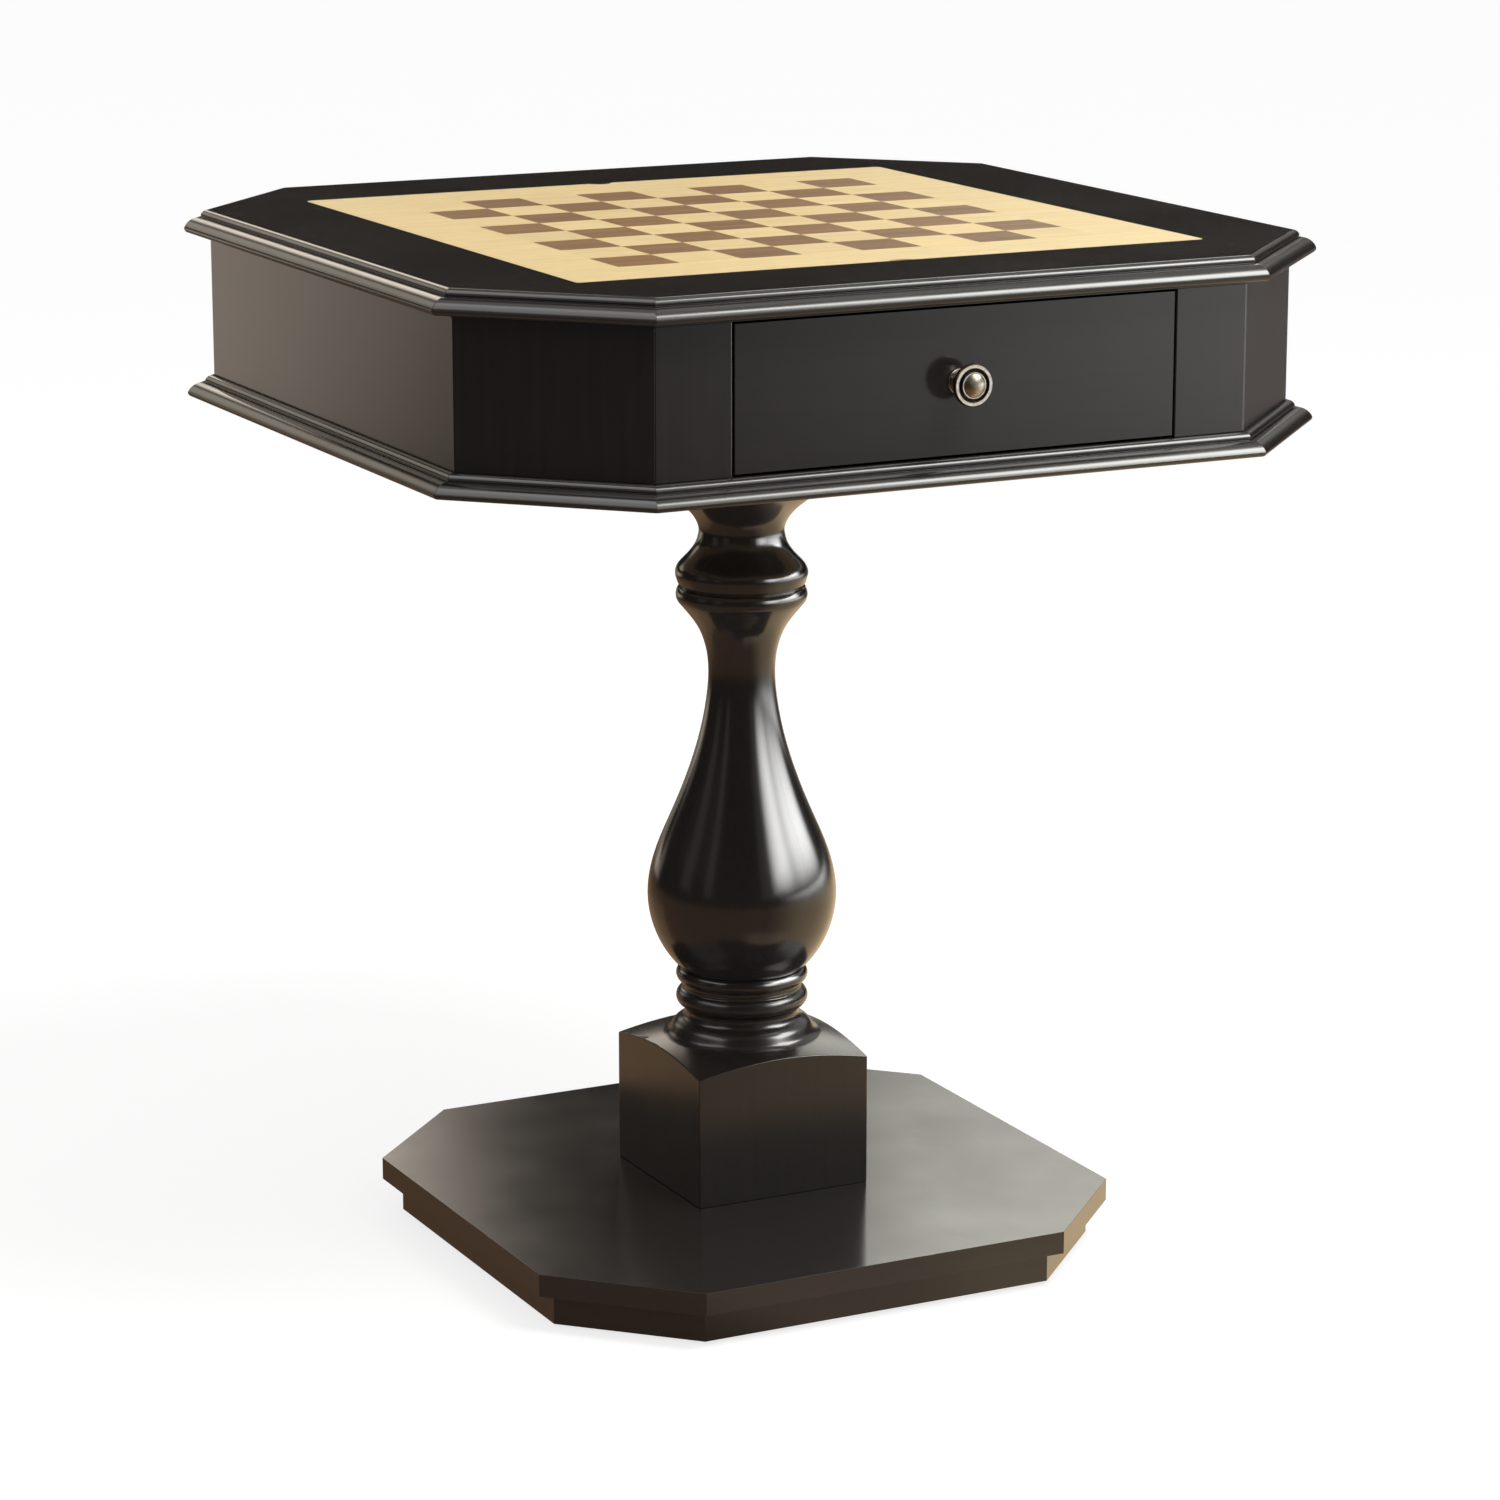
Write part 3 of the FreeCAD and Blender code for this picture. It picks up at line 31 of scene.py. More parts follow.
MILLIMETRE = 0.001
GLIDE_GREY = (0.045, 0.045, 0.045)
GLIDE_DUST = (0.11, 0.10, 0.09)
DUST_SCALE = 45.0
DUSTY_ROUGHNESS = (0.42, 0.7)
SPARKLE_SCALE = 1400.0
SPARKLE_DEPTH = 0.03 * MILLIMETRE
NOISE_LOW = 0.3
NOISE_HIGH = 0.7


def emptied_tree(holder):
    """The node tree of a material, world or lamp, with nothing in it."""
    holder.use_nodes = True
    holder.node_tree.nodes.clear()
    return holder.node_tree


def new_finish(name):
    """An empty material with its output and one Principled shader, and the object's own coordinates."""
    finish = bpy.data.materials.new(name)
    tree = emptied_tree(finish)
    output = tree.nodes.new("ShaderNodeOutputMaterial")
    shader = tree.nodes.new("ShaderNodeBsdfPrincipled")
    tree.links.new(shader.outputs["BSDF"], output.inputs["Surface"])
    place = tree.nodes.new("ShaderNodeTexCoord").outputs["Object"]
    return finish, tree, shader, place


def clouds(tree, place, scale, detail=3.0, roughness=0.55, distortion=0.0):
    """Noise from 0 to 1, with that many clouds to the metre."""
    noise = tree.nodes.new("ShaderNodeTexNoise")
    noise.inputs["Scale"].default_value = scale
    noise.inputs["Detail"].default_value = detail
    noise.inputs["Roughness"].default_value = roughness
    noise.inputs["Distortion"].default_value = distortion
    tree.links.new(place, noise.inputs["Vector"])
    return noise.outputs["Fac"]


def graded(tree, value, stops):
    """A colour for each value, through the given (place, colour) stops."""
    ramp = tree.nodes.new("ShaderNodeValToRGB")
    while len(ramp.color_ramp.elements) < len(stops):
        ramp.color_ramp.elements.new(0.5)
    for element, (stop, colour) in zip(ramp.color_ramp.elements, stops):
        element.position = stop
        element.color = (*colour, 1.0)
    tree.links.new(value, ramp.inputs["Fac"])
    return ramp.outputs["Color"]


def ranged(tree, value, low, high):
    """Noise, which lies mostly between NOISE_LOW and NOISE_HIGH, stretched to run from low to high."""
    remap = tree.nodes.new("ShaderNodeMapRange")
    remap.inputs["From Min"].default_value = NOISE_LOW
    remap.inputs["From Max"].default_value = NOISE_HIGH
    remap.inputs["To Min"].default_value = low
    remap.inputs["To Max"].default_value = high
    tree.links.new(value, remap.inputs["Value"])
    return remap.outputs["Result"]


def relief(tree, shader, height, depth, under=None):
    """Bump of that depth in metres, on top of an earlier one if there is one."""
    bump = tree.nodes.new("ShaderNodeBump")
    bump.inputs["Strength"].default_value = 1.0
    bump.inputs["Distance"].default_value = depth
    tree.links.new(height, bump.inputs["Height"])
    if under is not None:
        tree.links.new(under, bump.inputs["Normal"])
    tree.links.new(bump.outputs["Normal"], shader.inputs["Normal"])
    return bump.outputs["Normal"]


def finish_with(material, *names):
    """Gives CAD nodes that material."""
    for name in names:
        for slot in nodes[name].material_slots:
            slot.link = "OBJECT"
            slot.material = material


def moulded_plastic(name, colour, dusty):
    """Dull plastic with a fine sparkle, paler and rougher where dust lies."""
    finish, tree, shader, place = new_finish(name)
    sparkle = clouds(tree, place, SPARKLE_SCALE, detail=2.0)
    dust = clouds(tree, place, DUST_SCALE, detail=4.0)
    tree.links.new(graded(tree, dust, [(0.45, colour), (0.75, dusty)]), shader.inputs["Base Color"])
    tree.links.new(ranged(tree, dust, *DUSTY_ROUGHNESS), shader.inputs["Roughness"])
    relief(tree, shader, sparkle, SPARKLE_DEPTH)
    return finish


finish_with(moulded_plastic("glide_grey", GLIDE_GREY, GLIDE_DUST), "base_glides")


# Base plates.
# Two stacked plates with clipped corners, glued and screwed together, carry the column. They are
# hardwood under a satin black lacquer, with the arrises rubbed just round enough to catch light.

EASED_PLATE_EDGE = 0.9 * MILLIMETRE
LACQUER_DARK = (0.0190, 0.0166, 0.0156)
LACQUER_BROWN = (0.0220, 0.0182, 0.0166)
SATIN_ROUGHNESS = (0.13, 0.19)
DRAWN_OUT = 0.04
X_GRAIN = (DRAWN_OUT, 1.0, 1.0)
Y_GRAIN = (1.0, DRAWN_OUT, 1.0)
Z_GRAIN = (1.0, 1.0, DRAWN_OUT)
STREAK_SCALE = 170.0
PORE_SCALE = 1100.0
RUB_SCALE = 9.0
PORE_DEPTH = 0.0015 * MILLIMETRE
STREAKS_OVER_PORES = 4.7


def stretched(tree, place, scale):
    """The coordinates multiplied by one scale per axis, so that a figure lies along the grain."""
    mapping = tree.nodes.new("ShaderNodeMapping")
    mapping.vector_type = "POINT"
    mapping.inputs["Scale"].default_value = scale
    tree.links.new(place, mapping.inputs["Vector"])
    return mapping.outputs["Vector"]


def black_lacquer(name, grain, roughness, pore_depth=PORE_DEPTH):
    """Black lacquer sprayed over hardwood: the grain shows through faintly, as streaks and relief."""
    finish, tree, shader, place = new_finish(name)
    along = stretched(tree, place, grain)
    streaks = clouds(tree, along, STREAK_SCALE, detail=5.0, roughness=0.6)
    pores = clouds(tree, along, PORE_SCALE, detail=2.0, roughness=0.5)
    rub = clouds(tree, place, RUB_SCALE, detail=4.0)
    colour = graded(tree, streaks, [(0.35, LACQUER_DARK), (0.72, LACQUER_BROWN)])
    tree.links.new(colour, shader.inputs["Base Color"])
    tree.links.new(ranged(tree, rub, *roughness), shader.inputs["Roughness"])
    coarse = relief(tree, shader, streaks, STREAKS_OVER_PORES * pore_depth)
    relief(tree, shader, pores, pore_depth, coarse)
    return finish


lacquer_along_x = black_lacquer("black_lacquer_along_x", X_GRAIN, SATIN_ROUGHNESS)
lacquer_along_y = black_lacquer("black_lacquer_along_y", Y_GRAIN, SATIN_ROUGHNESS)
lacquer_along_z = black_lacquer("black_lacquer_along_z", Z_GRAIN, SATIN_ROUGHNESS)

SHARP_TURN = math.radians(28.0)
MITRE_SLANT = 0.1
FLAT_TURN = math.radians(0.25)
WELD_GAP = 0.002 * MILLIMETRE
ARRIS_STEPS = 3


def wired(tree, kind, operation, *values):
    """A node of that kind and operation, with sockets or plain values on its inputs in their order."""
    node = tree.nodes.new(kind)
    node.operation = operation
    for socket, value in zip(node.inputs, values):
        if isinstance(value, bpy.types.NodeSocket):
            tree.links.new(value, socket)
        else:
            socket.default_value = value
    return node


def reckoned(tree, operation, *values):
    """Arithmetic on numbers."""
    return wired(tree, "ShaderNodeMath", operation, *values).outputs["Value"]


def reckoned_place(tree, operation, *values):
    """Arithmetic on places or colours."""
    return wired(tree, "ShaderNodeVectorMath", operation, *values).outputs["Vector"]


def split_place(tree, place):
    """The three outputs X, Y and Z of a place."""
    apart = tree.nodes.new("ShaderNodeSeparateXYZ")
    tree.links.new(place, apart.inputs["Vector"])
    return apart.outputs


def arris_marks():
    """Joins the faces of each solid along their edges and marks those that a maker would ease:
    all that turn by more than SHARP_TURN, apart from mitres, which lie across both X and Y."""
    group = bpy.data.node_groups.new("arris_marks", "GeometryNodeTree")
    group.interface.new_socket("Geometry", in_out="INPUT", socket_type="NodeSocketGeometry")
    group.interface.new_socket("Geometry", in_out="OUTPUT", socket_type="NodeSocketGeometry")
    group.interface.new_socket("Ease mitres", in_out="INPUT", socket_type="NodeSocketBool")
    add = group.nodes.new
    link = group.links.new
    start = add("NodeGroupInput")
    end = add("NodeGroupOutput")

    weld = add("GeometryNodeMergeByDistance")
    weld.inputs["Distance"].default_value = WELD_GAP
    link(start.outputs["Geometry"], weld.inputs["Geometry"])

    turn = add("GeometryNodeInputMeshEdgeAngle").outputs["Unsigned Angle"]
    sharp = wired(group, "FunctionNodeCompare", "GREATER_THAN", turn, SHARP_TURN).outputs["Result"]
    shade = add("GeometryNodeSetMeshNormal")
    shade.inputs["Face Sharpness"].default_value = False
    link(weld.outputs["Geometry"], shade.inputs["Mesh"])
    link(sharp, shade.inputs["Edge Sharpness"])

    ends = add("GeometryNodeInputMeshEdgeVertices")
    span = reckoned_place(group, "SUBTRACT", ends.outputs["Position 1"], ends.outputs["Position 2"])
    direction = split_place(group, reckoned_place(group, "NORMALIZE", span))
    across = reckoned(group, "MULTIPLY", direction["X"], direction["Y"])
    slant = reckoned(group, "ABSOLUTE", across)
    straight = wired(group, "FunctionNodeCompare", "LESS_THAN", slant, MITRE_SLANT).outputs["Result"]
    mitres_too = start.outputs["Ease mitres"]
    wanted = wired(group, "FunctionNodeBooleanMath", "OR", straight, mitres_too).outputs["Boolean"]
    eased = wired(group, "FunctionNodeBooleanMath", "AND", sharp, wanted).outputs["Boolean"]

    mark = add("GeometryNodeStoreNamedAttribute")
    mark.data_type = "FLOAT"
    mark.domain = "EDGE"
    mark.inputs["Name"].default_value = "bevel_weight_edge"
    link(shade.outputs["Mesh"], mark.inputs["Geometry"])
    link(eased, mark.inputs["Value"])
    link(mark.outputs["Geometry"], end.inputs["Geometry"])
    return group, group.interface.items_tree["Ease mitres"].identifier


marks, mitre_switch = arris_marks()


def ease(radius, *names, mitres=True, clamped=True):
    """Rounds the arrises of CAD nodes with modifiers, which leave their meshes as they are. Arched
    arrises aren't clamped, because a clamped rounding shrinks to their short facets."""
    for name in names:
        piece = nodes[name]
        marked = piece.modifiers.new("arris_marks", "NODES")
        marked.node_group = marks
        marked[mitre_switch] = mitres
        flats = piece.modifiers.new("whole_flats", "DECIMATE")
        flats.decimate_type = "DISSOLVE"
        flats.angle_limit = FLAT_TURN
        rounded = piece.modifiers.new("eased_arrises", "BEVEL")
        rounded.limit_method = "WEIGHT"
        rounded.width = radius
        rounded.segments = ARRIS_STEPS
        rounded.use_clamp_overlap = clamped
        rounded.harden_normals = True


finish_with(lacquer_along_x, "base_lower_plate", "base_upper_plate")
ease(EASED_PLATE_EDGE, "base_lower_plate", "base_upper_plate")


# Screws, tie rod, nuts and washers.
# Wood screws join the plates, the cleat and the board's support, one more screw holds the knob, and a
# steel rod with a nut and a washer at each end pulls the column together. All are dull zinc plate
# with faint yellow patches.

ZINC_GREY = (0.58, 0.58, 0.56)
ZINC_YELLOW = (0.64, 0.60, 0.50)
ZINC_ROUGHNESS = (0.28, 0.45)
ZINC_PATCH_SCALE = 160.0
SCRATCH_SCALE = 2500.0
SCRATCH_LIE = (1.0, 1.0, 0.1)
SCRATCH_DEPTH = 0.01 * MILLIMETRE


def zinc_plate(name):
    """Dull grey plating with yellow patches, scratched along the screw."""
    finish, tree, shader, place = new_finish(name)
    patches = clouds(tree, place, ZINC_PATCH_SCALE)
    scratches = clouds(tree, stretched(tree, place, SCRATCH_LIE), SCRATCH_SCALE, detail=2.0)
    colour = graded(tree, patches, [(0.35, ZINC_GREY), (0.7, ZINC_YELLOW)])
    tree.links.new(colour, shader.inputs["Base Color"])
    shader.inputs["Metallic"].default_value = 1.0
    tree.links.new(ranged(tree, patches, *ZINC_ROUGHNESS), shader.inputs["Roughness"])
    relief(tree, shader, scratches, SCRATCH_DEPTH)
    return finish


finish_with(
    zinc_plate("zinc_plate"),
    "base_screws", "column_screws", "cleat_screws", "support_screws",
    "tie_rod", "tie_rod_nuts", "tie_rod_washers", "knob_screw",
)


# Column.
# A square block, a vase-shaped shaft and a capital are turned on a lathe from glued-up hardwood and
# drawn together on the rod. The turned pieces' lacquer is rubbed smooth, and the blocks' is duller.

EASED_BLOCK_EDGE = 0.8 * MILLIMETRE
EASED_TURNED_EDGE = 0.3 * MILLIMETRE
TURNED_ROUGHNESS = (0.13, 0.18)
BLOCK_ROUGHNESS = (0.21, 0.27)
TURNED_PORE_DEPTH = 0.0008 * MILLIMETRE

turned_lacquer = black_lacquer("turned_black_lacquer", Z_GRAIN, TURNED_ROUGHNESS, TURNED_PORE_DEPTH)
block_lacquer = black_lacquer("block_black_lacquer", Z_GRAIN, BLOCK_ROUGHNESS, TURNED_PORE_DEPTH)

finish_with(turned_lacquer, "column_vase", "column_capital")
finish_with(block_lacquer, "column_block", "column_head_block")
finish_with(lacquer_along_x, "column_cleat")
ease(EASED_BLOCK_EDGE, "column_block", clamped=False)
ease(EASED_BLOCK_EDGE, "column_head_block", "column_cleat")
ease(EASED_TURNED_EDGE, "column_vase", "column_capital")


# Case.
# Apron boards, two front stiles and four clipped corner panels stand on a plywood bottom, glued
# through blocks inside the joints. Outside they have the same black lacquer.

EASED_CASE_EDGE = 0.8 * MILLIMETRE
BARE_PALE = (0.62, 0.46, 0.28)
BARE_DARK = (0.50, 0.34, 0.19)
BARE_ROUGHNESS = 0.62
BARE_RING_SCALE = 60.0
PLY_PALE = (0.60, 0.43, 0.25)
PLY_DARK = (0.44, 0.29, 0.16)
PLY_ROUGHNESS = 0.5
PLY_RING_SCALE = 35.0
WHITE = (1.0, 1.0, 1.0)
FIBRE_SHADE = (0.8, 0.77, 0.74)
FIBRE_SCALE = 900.0
FIBRE_ROUGHER = 0.12
FIBRE_DEPTH = 0.03 * MILLIMETRE


def times(tree, first, second):
    """Two colours multiplied."""
    mixed = tree.nodes.new("ShaderNodeMix")
    mixed.data_type = "RGBA"
    mixed.blend_type = "MULTIPLY"
    mixed.inputs["Factor"].default_value = 1.0
    tree.links.new(first, mixed.inputs["A"])
    tree.links.new(second, mixed.inputs["B"])
    return mixed.outputs["Result"]


def timber(name, grain, pale, dark, roughness, ring_scale):
    """Planed or sanded timber: broad growth rings and fine, darker fibres."""
    finish, tree, shader, place = new_finish(name)
    along = stretched(tree, place, grain)
    rings = clouds(tree, along, ring_scale, roughness=0.5, distortion=0.6)
    fibres = clouds(tree, along, FIBRE_SCALE, roughness=0.6)
    ring_colour = graded(tree, rings, [(0.3, pale), (0.7, dark)])
    fibre_colour = graded(tree, fibres, [(0.3, FIBRE_SHADE), (0.6, WHITE)])
    tree.links.new(times(tree, ring_colour, fibre_colour), shader.inputs["Base Color"])
    tree.links.new(ranged(tree, fibres, roughness, roughness + FIBRE_ROUGHER), shader.inputs["Roughness"])
    relief(tree, shader, fibres, FIBRE_DEPTH)
    return finish


bare_along_y = timber("bare_wood_along_y", Y_GRAIN, BARE_PALE, BARE_DARK, BARE_ROUGHNESS, BARE_RING_SCALE)
bare_along_x = timber("bare_wood_along_x", X_GRAIN, BARE_PALE, BARE_DARK, BARE_ROUGHNESS, BARE_RING_SCALE)
ply = timber("case_ply", X_GRAIN, PLY_PALE, PLY_DARK, PLY_ROUGHNESS, PLY_RING_SCALE)

finish_with(ply, "case_bottom")
finish_with(lacquer_along_y, "apron_left", "apron_right")
finish_with(lacquer_along_x, "apron_back")
finish_with(lacquer_along_z, "front_stile_left", "front_stile_right", "corner_panels")
finish_with(bare_along_y, "glue_blocks")
ease(
    EASED_CASE_EDGE,
    "apron_left", "apron_right", "apron_back", "front_stile_left", "front_stile_right", "corner_panels",
)


# Mouldings.
# Lengths of moulding are mitred round the case under the top and at its foot, four long and four
# short each, glued and pinned. Each mitre shows as a hairline, because the arrises there are eased.

EASED_MOULDING_EDGE = 0.8 * MILLIMETRE

for moulding in ("lower_moulding", "upper_moulding"):
    along_x = (f"{moulding}_front", f"{moulding}_back", f"{moulding}_corners")
    along_y = (f"{moulding}_left", f"{moulding}_right")
    finish_with(lacquer_along_x, *along_x)
    finish_with(lacquer_along_y, *along_y)
    ease(EASED_MOULDING_EDGE, *along_x, *along_y)


# Top rails and the panel under the board.
# Four rails, mitred tight round the opening and lacquered black, frame the board. A plywood panel
# screwed up under them carries it.

EASED_RAIL_EDGE = 0.4 * MILLIMETRE
RAIL_ROUGHNESS = (0.09, 0.13)
RAIL_PORE_DEPTH = 0.0002 * MILLIMETRE

finish_with(
    black_lacquer("rubbed_black_lacquer_along_x", X_GRAIN, RAIL_ROUGHNESS, RAIL_PORE_DEPTH),
    "top_rail_front", "top_rail_back",
)
finish_with(
    black_lacquer("rubbed_black_lacquer_along_y", Y_GRAIN, RAIL_ROUGHNESS, RAIL_PORE_DEPTH),
    "top_rail_left", "top_rail_right",
)
finish_with(ply, "board_support")
ease(
    EASED_RAIL_EDGE, "top_rail_front", "top_rail_back", "top_rail_left", "top_rail_right", mitres=False
)


# Drawer.
# A black front is glued over a plain bare-wood box with a plywood bottom. The box runs on bare
# runners under kickers, against stops.

EASED_FRONT_EDGE = 1.0 * MILLIMETRE
EASED_BOX_EDGE = 0.5 * MILLIMETRE

finish_with(lacquer_along_x, "drawer_front")
finish_with(bare_along_y, "drawer_side_left", "drawer_side_right")
finish_with(bare_along_x, "drawer_back")
finish_with(
    timber("drawer_ply", Y_GRAIN, PLY_PALE, PLY_DARK, PLY_ROUGHNESS, PLY_RING_SCALE), "drawer_bottom"
)
finish_with(
    bare_along_y, "drawer_runner_left", "drawer_runner_right", "drawer_kickers", "drawer_stops"
)
ease(EASED_FRONT_EDGE, "drawer_front")
ease(EASED_BOX_EDGE, "drawer_side_left", "drawer_side_right", "drawer_back")


# Drawer knob.
# A turned and plated knob, screwed on from inside. The plating is antiqued: black in the groove,
# rubbed bright on the outer ring and on the collar round the dome, and dull on the dome and the edge.

KNOB_RUBBED = (0.80, 0.77, 0.70)
KNOB_DOME = (0.34, 0.31, 0.26)
KNOB_TARNISH = (0.030, 0.022, 0.018)
KNOB_EDGE = (0.16, 0.12, 0.09)
KNOB_FACE_RADIUS = 14.2 * MILLIMETRE
KNOB_COLOUR_SHARES = [
    (0.0, KNOB_DOME), (0.54, KNOB_DOME), (0.575, KNOB_TARNISH),
    (0.60, KNOB_RUBBED), (0.63, KNOB_RUBBED), (0.655, KNOB_TARNISH), (0.83, KNOB_TARNISH),
    (0.86, KNOB_RUBBED), (0.99, KNOB_RUBBED), (1.0, KNOB_EDGE),
]
KNOB_PATCH = (0.6, 0.58, 0.55)
KNOB_PATCH_SCALE = 350.0
KNOB_PATCH_DEPTH = 0.02 * MILLIMETRE
KNOB_ROUGHNESS = (0.42, 0.3)


def antique_nickel(name):
    """Plating whose colour goes by the distance from the knob's axis, in shares of its face's radius."""
    finish, tree, shader, place = new_finish(name)
    corners = [Vector(corner) for corner in nodes["drawer_knob"].bound_box]
    middle = sum(corners, Vector()) / len(corners)
    per_radius = (1.0 / KNOB_FACE_RADIUS, 0.0, 1.0 / KNOB_FACE_RADIUS)
    to_axis = (-middle.x / KNOB_FACE_RADIUS, 0.0, -middle.z / KNOB_FACE_RADIUS)
    from_axis = reckoned_place(tree, "MULTIPLY_ADD", place, per_radius, to_axis)
    reach = wired(tree, "ShaderNodeVectorMath", "LENGTH", from_axis).outputs["Value"]
    patches = clouds(tree, place, KNOB_PATCH_SCALE, detail=4.0, roughness=0.6)
    rings = graded(tree, reach, KNOB_COLOUR_SHARES)
    worn = graded(tree, patches, [(0.3, KNOB_PATCH), (0.62, WHITE)])
    tree.links.new(times(tree, rings, worn), shader.inputs["Base Color"])
    shader.inputs["Metallic"].default_value = 1.0
    tree.links.new(ranged(tree, patches, *KNOB_ROUGHNESS), shader.inputs["Roughness"])
    relief(tree, shader, patches, KNOB_PATCH_DEPTH)
    return finish


finish_with(antique_nickel("antique_nickel"), "drawer_knob")


# Board core and edging.
# The loose board has a pale wood core between two veneered faces, with solid edging all round and a
# finger notch in the front and back edges to lift it by.

BOARD_PALE = (0.70, 0.50, 0.26)
BOARD_DARK = (0.60, 0.40, 0.20)
BOARD_ROUGHNESS = 0.4
BOARD_RING_SCALE = 40.0

finish_with(
    timber("board_wood", X_GRAIN, BOARD_PALE, BOARD_DARK, BOARD_ROUGHNESS, BOARD_RING_SCALE),
    "board_core", "board_edging_notched", "board_edging_plain",
)


# Chess face.
# Squares of maple and walnut veneer are laid alternately inside a mitred maple border, then sanded
# level and given a clear satin lacquer. The squares differ a little from one to the next.

SQUARES_ACROSS = 8
squares_low, squares_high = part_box("chess_squares_dark")
SQUARE = (squares_high.x - squares_low.x) / SQUARES_ACROSS
MAPLE_PALE = (0.960, 0.765, 0.400)
MAPLE_WARM = (0.910, 0.675, 0.305)
MAPLE_CONTRAST = 0.25
MAPLE_SPREAD = 0.06
WALNUT_LIGHT = (0.290, 0.138, 0.038)
WALNUT_DARK = (0.175, 0.078, 0.018)
WALNUT_CONTRAST = 0.2
WALNUT_SPREAD = 0.16
SPREAD_UPWARDS = 0.4
LEAF_SHIFT = (5.0, 5.0, 0.0)
VENEER_FIGURE_SCALE = 55.0
VENEER_STREAK_SCALE = 420.0
VENEER_PORE_SCALE = 1500.0
VENEER_PORE_DEPTH = 0.006 * MILLIMETRE
VENEER_ROUGHNESS = (0.3, 0.38)
STREAK_SHADE = 0.86
PORE_SHADE = 0.9
WARM_SHARES = (1.0, 0.98, 0.96)
CLEAR_LACQUER_INDEX = 1.38


def own_leaf(tree, place):
    """Coordinates shifted by a different amount in each square, and a random shade for each square."""
    cell = reckoned_place(tree, "SNAP", place, (SQUARE, SQUARE, 1.0))
    chance = tree.nodes.new("ShaderNodeTexWhiteNoise")
    chance.noise_dimensions = "3D"
    tree.links.new(cell, chance.inputs["Vector"])
    shifted = reckoned_place(tree, "MULTIPLY_ADD", chance.outputs["Color"], LEAF_SHIFT, place)
    return shifted, chance.outputs["Value"]


def veneer(name, grain, light, dark, contrast, spread=0.0):
    """Sliced veneer under clear lacquer: streaks along the grain, fine pores, a shade for each leaf."""
    finish, tree, shader, place = new_finish(name)
    shade = None
    if spread > 0.0:
        place, shade = own_leaf(tree, place)
    along = stretched(tree, place, grain)
    figure = clouds(tree, along, VENEER_FIGURE_SCALE, detail=4.0, roughness=0.6, distortion=0.5)
    streaks = clouds(tree, along, VENEER_STREAK_SCALE, roughness=0.65)
    pores = clouds(tree, along, VENEER_PORE_SCALE, detail=2.0, roughness=0.5)
    colour = graded(tree, figure, [(0.5 - contrast, light), (0.5 + contrast, dark)])
    for value, depth in ((streaks, STREAK_SHADE), (pores, PORE_SHADE)):
        darker = tuple(depth * share for share in WARM_SHARES)
        colour = times(tree, colour, graded(tree, value, [(0.32, darker), (0.6, WHITE)]))
    if shade is not None:
        darkest = (1.0 - spread,) * 3
        palest = (1.0 + SPREAD_UPWARDS * spread,) * 3
        colour = times(tree, colour, graded(tree, shade, [(0.0, darkest), (1.0, palest)]))
    tree.links.new(colour, shader.inputs["Base Color"])
    tree.links.new(ranged(tree, figure, *VENEER_ROUGHNESS), shader.inputs["Roughness"])
    shader.inputs["IOR"].default_value = CLEAR_LACQUER_INDEX
    relief(tree, shader, pores, VENEER_PORE_DEPTH)
    return finish


finish_with(veneer("maple_border", X_GRAIN, MAPLE_PALE, MAPLE_WARM, MAPLE_CONTRAST), "chess_border")
finish_with(
    veneer("maple_squares", X_GRAIN, MAPLE_PALE, MAPLE_WARM, MAPLE_CONTRAST, MAPLE_SPREAD),
    "chess_squares_light",
)
finish_with(
    veneer("walnut_squares", X_GRAIN, WALNUT_LIGHT, WALNUT_DARK, WALNUT_CONTRAST, WALNUT_SPREAD),
    "chess_squares_dark",
)


# Backgammon face.
# The same board's other side: long pointed triangles in two woods on a pale field, inside a stained
# border with a bar across the middle.

STAIN_LIGHT = (0.20, 0.085, 0.042)
STAIN_DARK = (0.11, 0.045, 0.024)
STAIN_CONTRAST = 0.2
FIELD_PALE = (0.72, 0.53, 0.30)
FIELD_WARM = (0.60, 0.41, 0.21)
FIELD_CONTRAST = 0.25

finish_with(
    veneer("stained_border", X_GRAIN, STAIN_LIGHT, STAIN_DARK, STAIN_CONTRAST), "backgammon_surround"
)
finish_with(veneer("field_leaf", X_GRAIN, FIELD_PALE, FIELD_WARM, FIELD_CONTRAST), "backgammon_field")
finish_with(
    veneer("walnut_points", Y_GRAIN, WALNUT_LIGHT, WALNUT_DARK, WALNUT_CONTRAST),
    "backgammon_points_dark",
)
finish_with(
    veneer("maple_points", Y_GRAIN, MAPLE_PALE, MAPLE_WARM, MAPLE_CONTRAST), "backgammon_points_light"
)


# Studio floor and air.
# The camera sees a white floor and white air, and plain fill light comes from all round. The floor
# is painted pale and keeps the table's shadow.

FLOOR_REACH = 30.0
FLOOR_COLOUR = (0.80, 0.80, 0.80, 1.0)
SEEN_FLOOR_COLOUR = (0.40, 0.40, 0.40, 1.0)
SEEN_FLOOR_GLOW = 0.77
FILL = 0.62
AIR_WHITE = 1.0


def where_seen(tree, usual, seen):
    """The first shader as a light, and the second one to the camera, a mirror reflection or glass."""
    path = tree.nodes.new("ShaderNodeLightPath").outputs
    direct_or_gloss = reckoned(tree, "MAXIMUM", path["Is Camera Ray"], path["Is Glossy Ray"])
    any_sight = reckoned(tree, "MAXIMUM", direct_or_gloss, path["Is Transmission Ray"])
    choice = tree.nodes.new("ShaderNodeMixShader")
    tree.links.new(any_sight, choice.inputs["Fac"])
    tree.links.new(usual, choice.inputs[1])
    tree.links.new(seen, choice.inputs[2])
    return choice.outputs["Shader"]


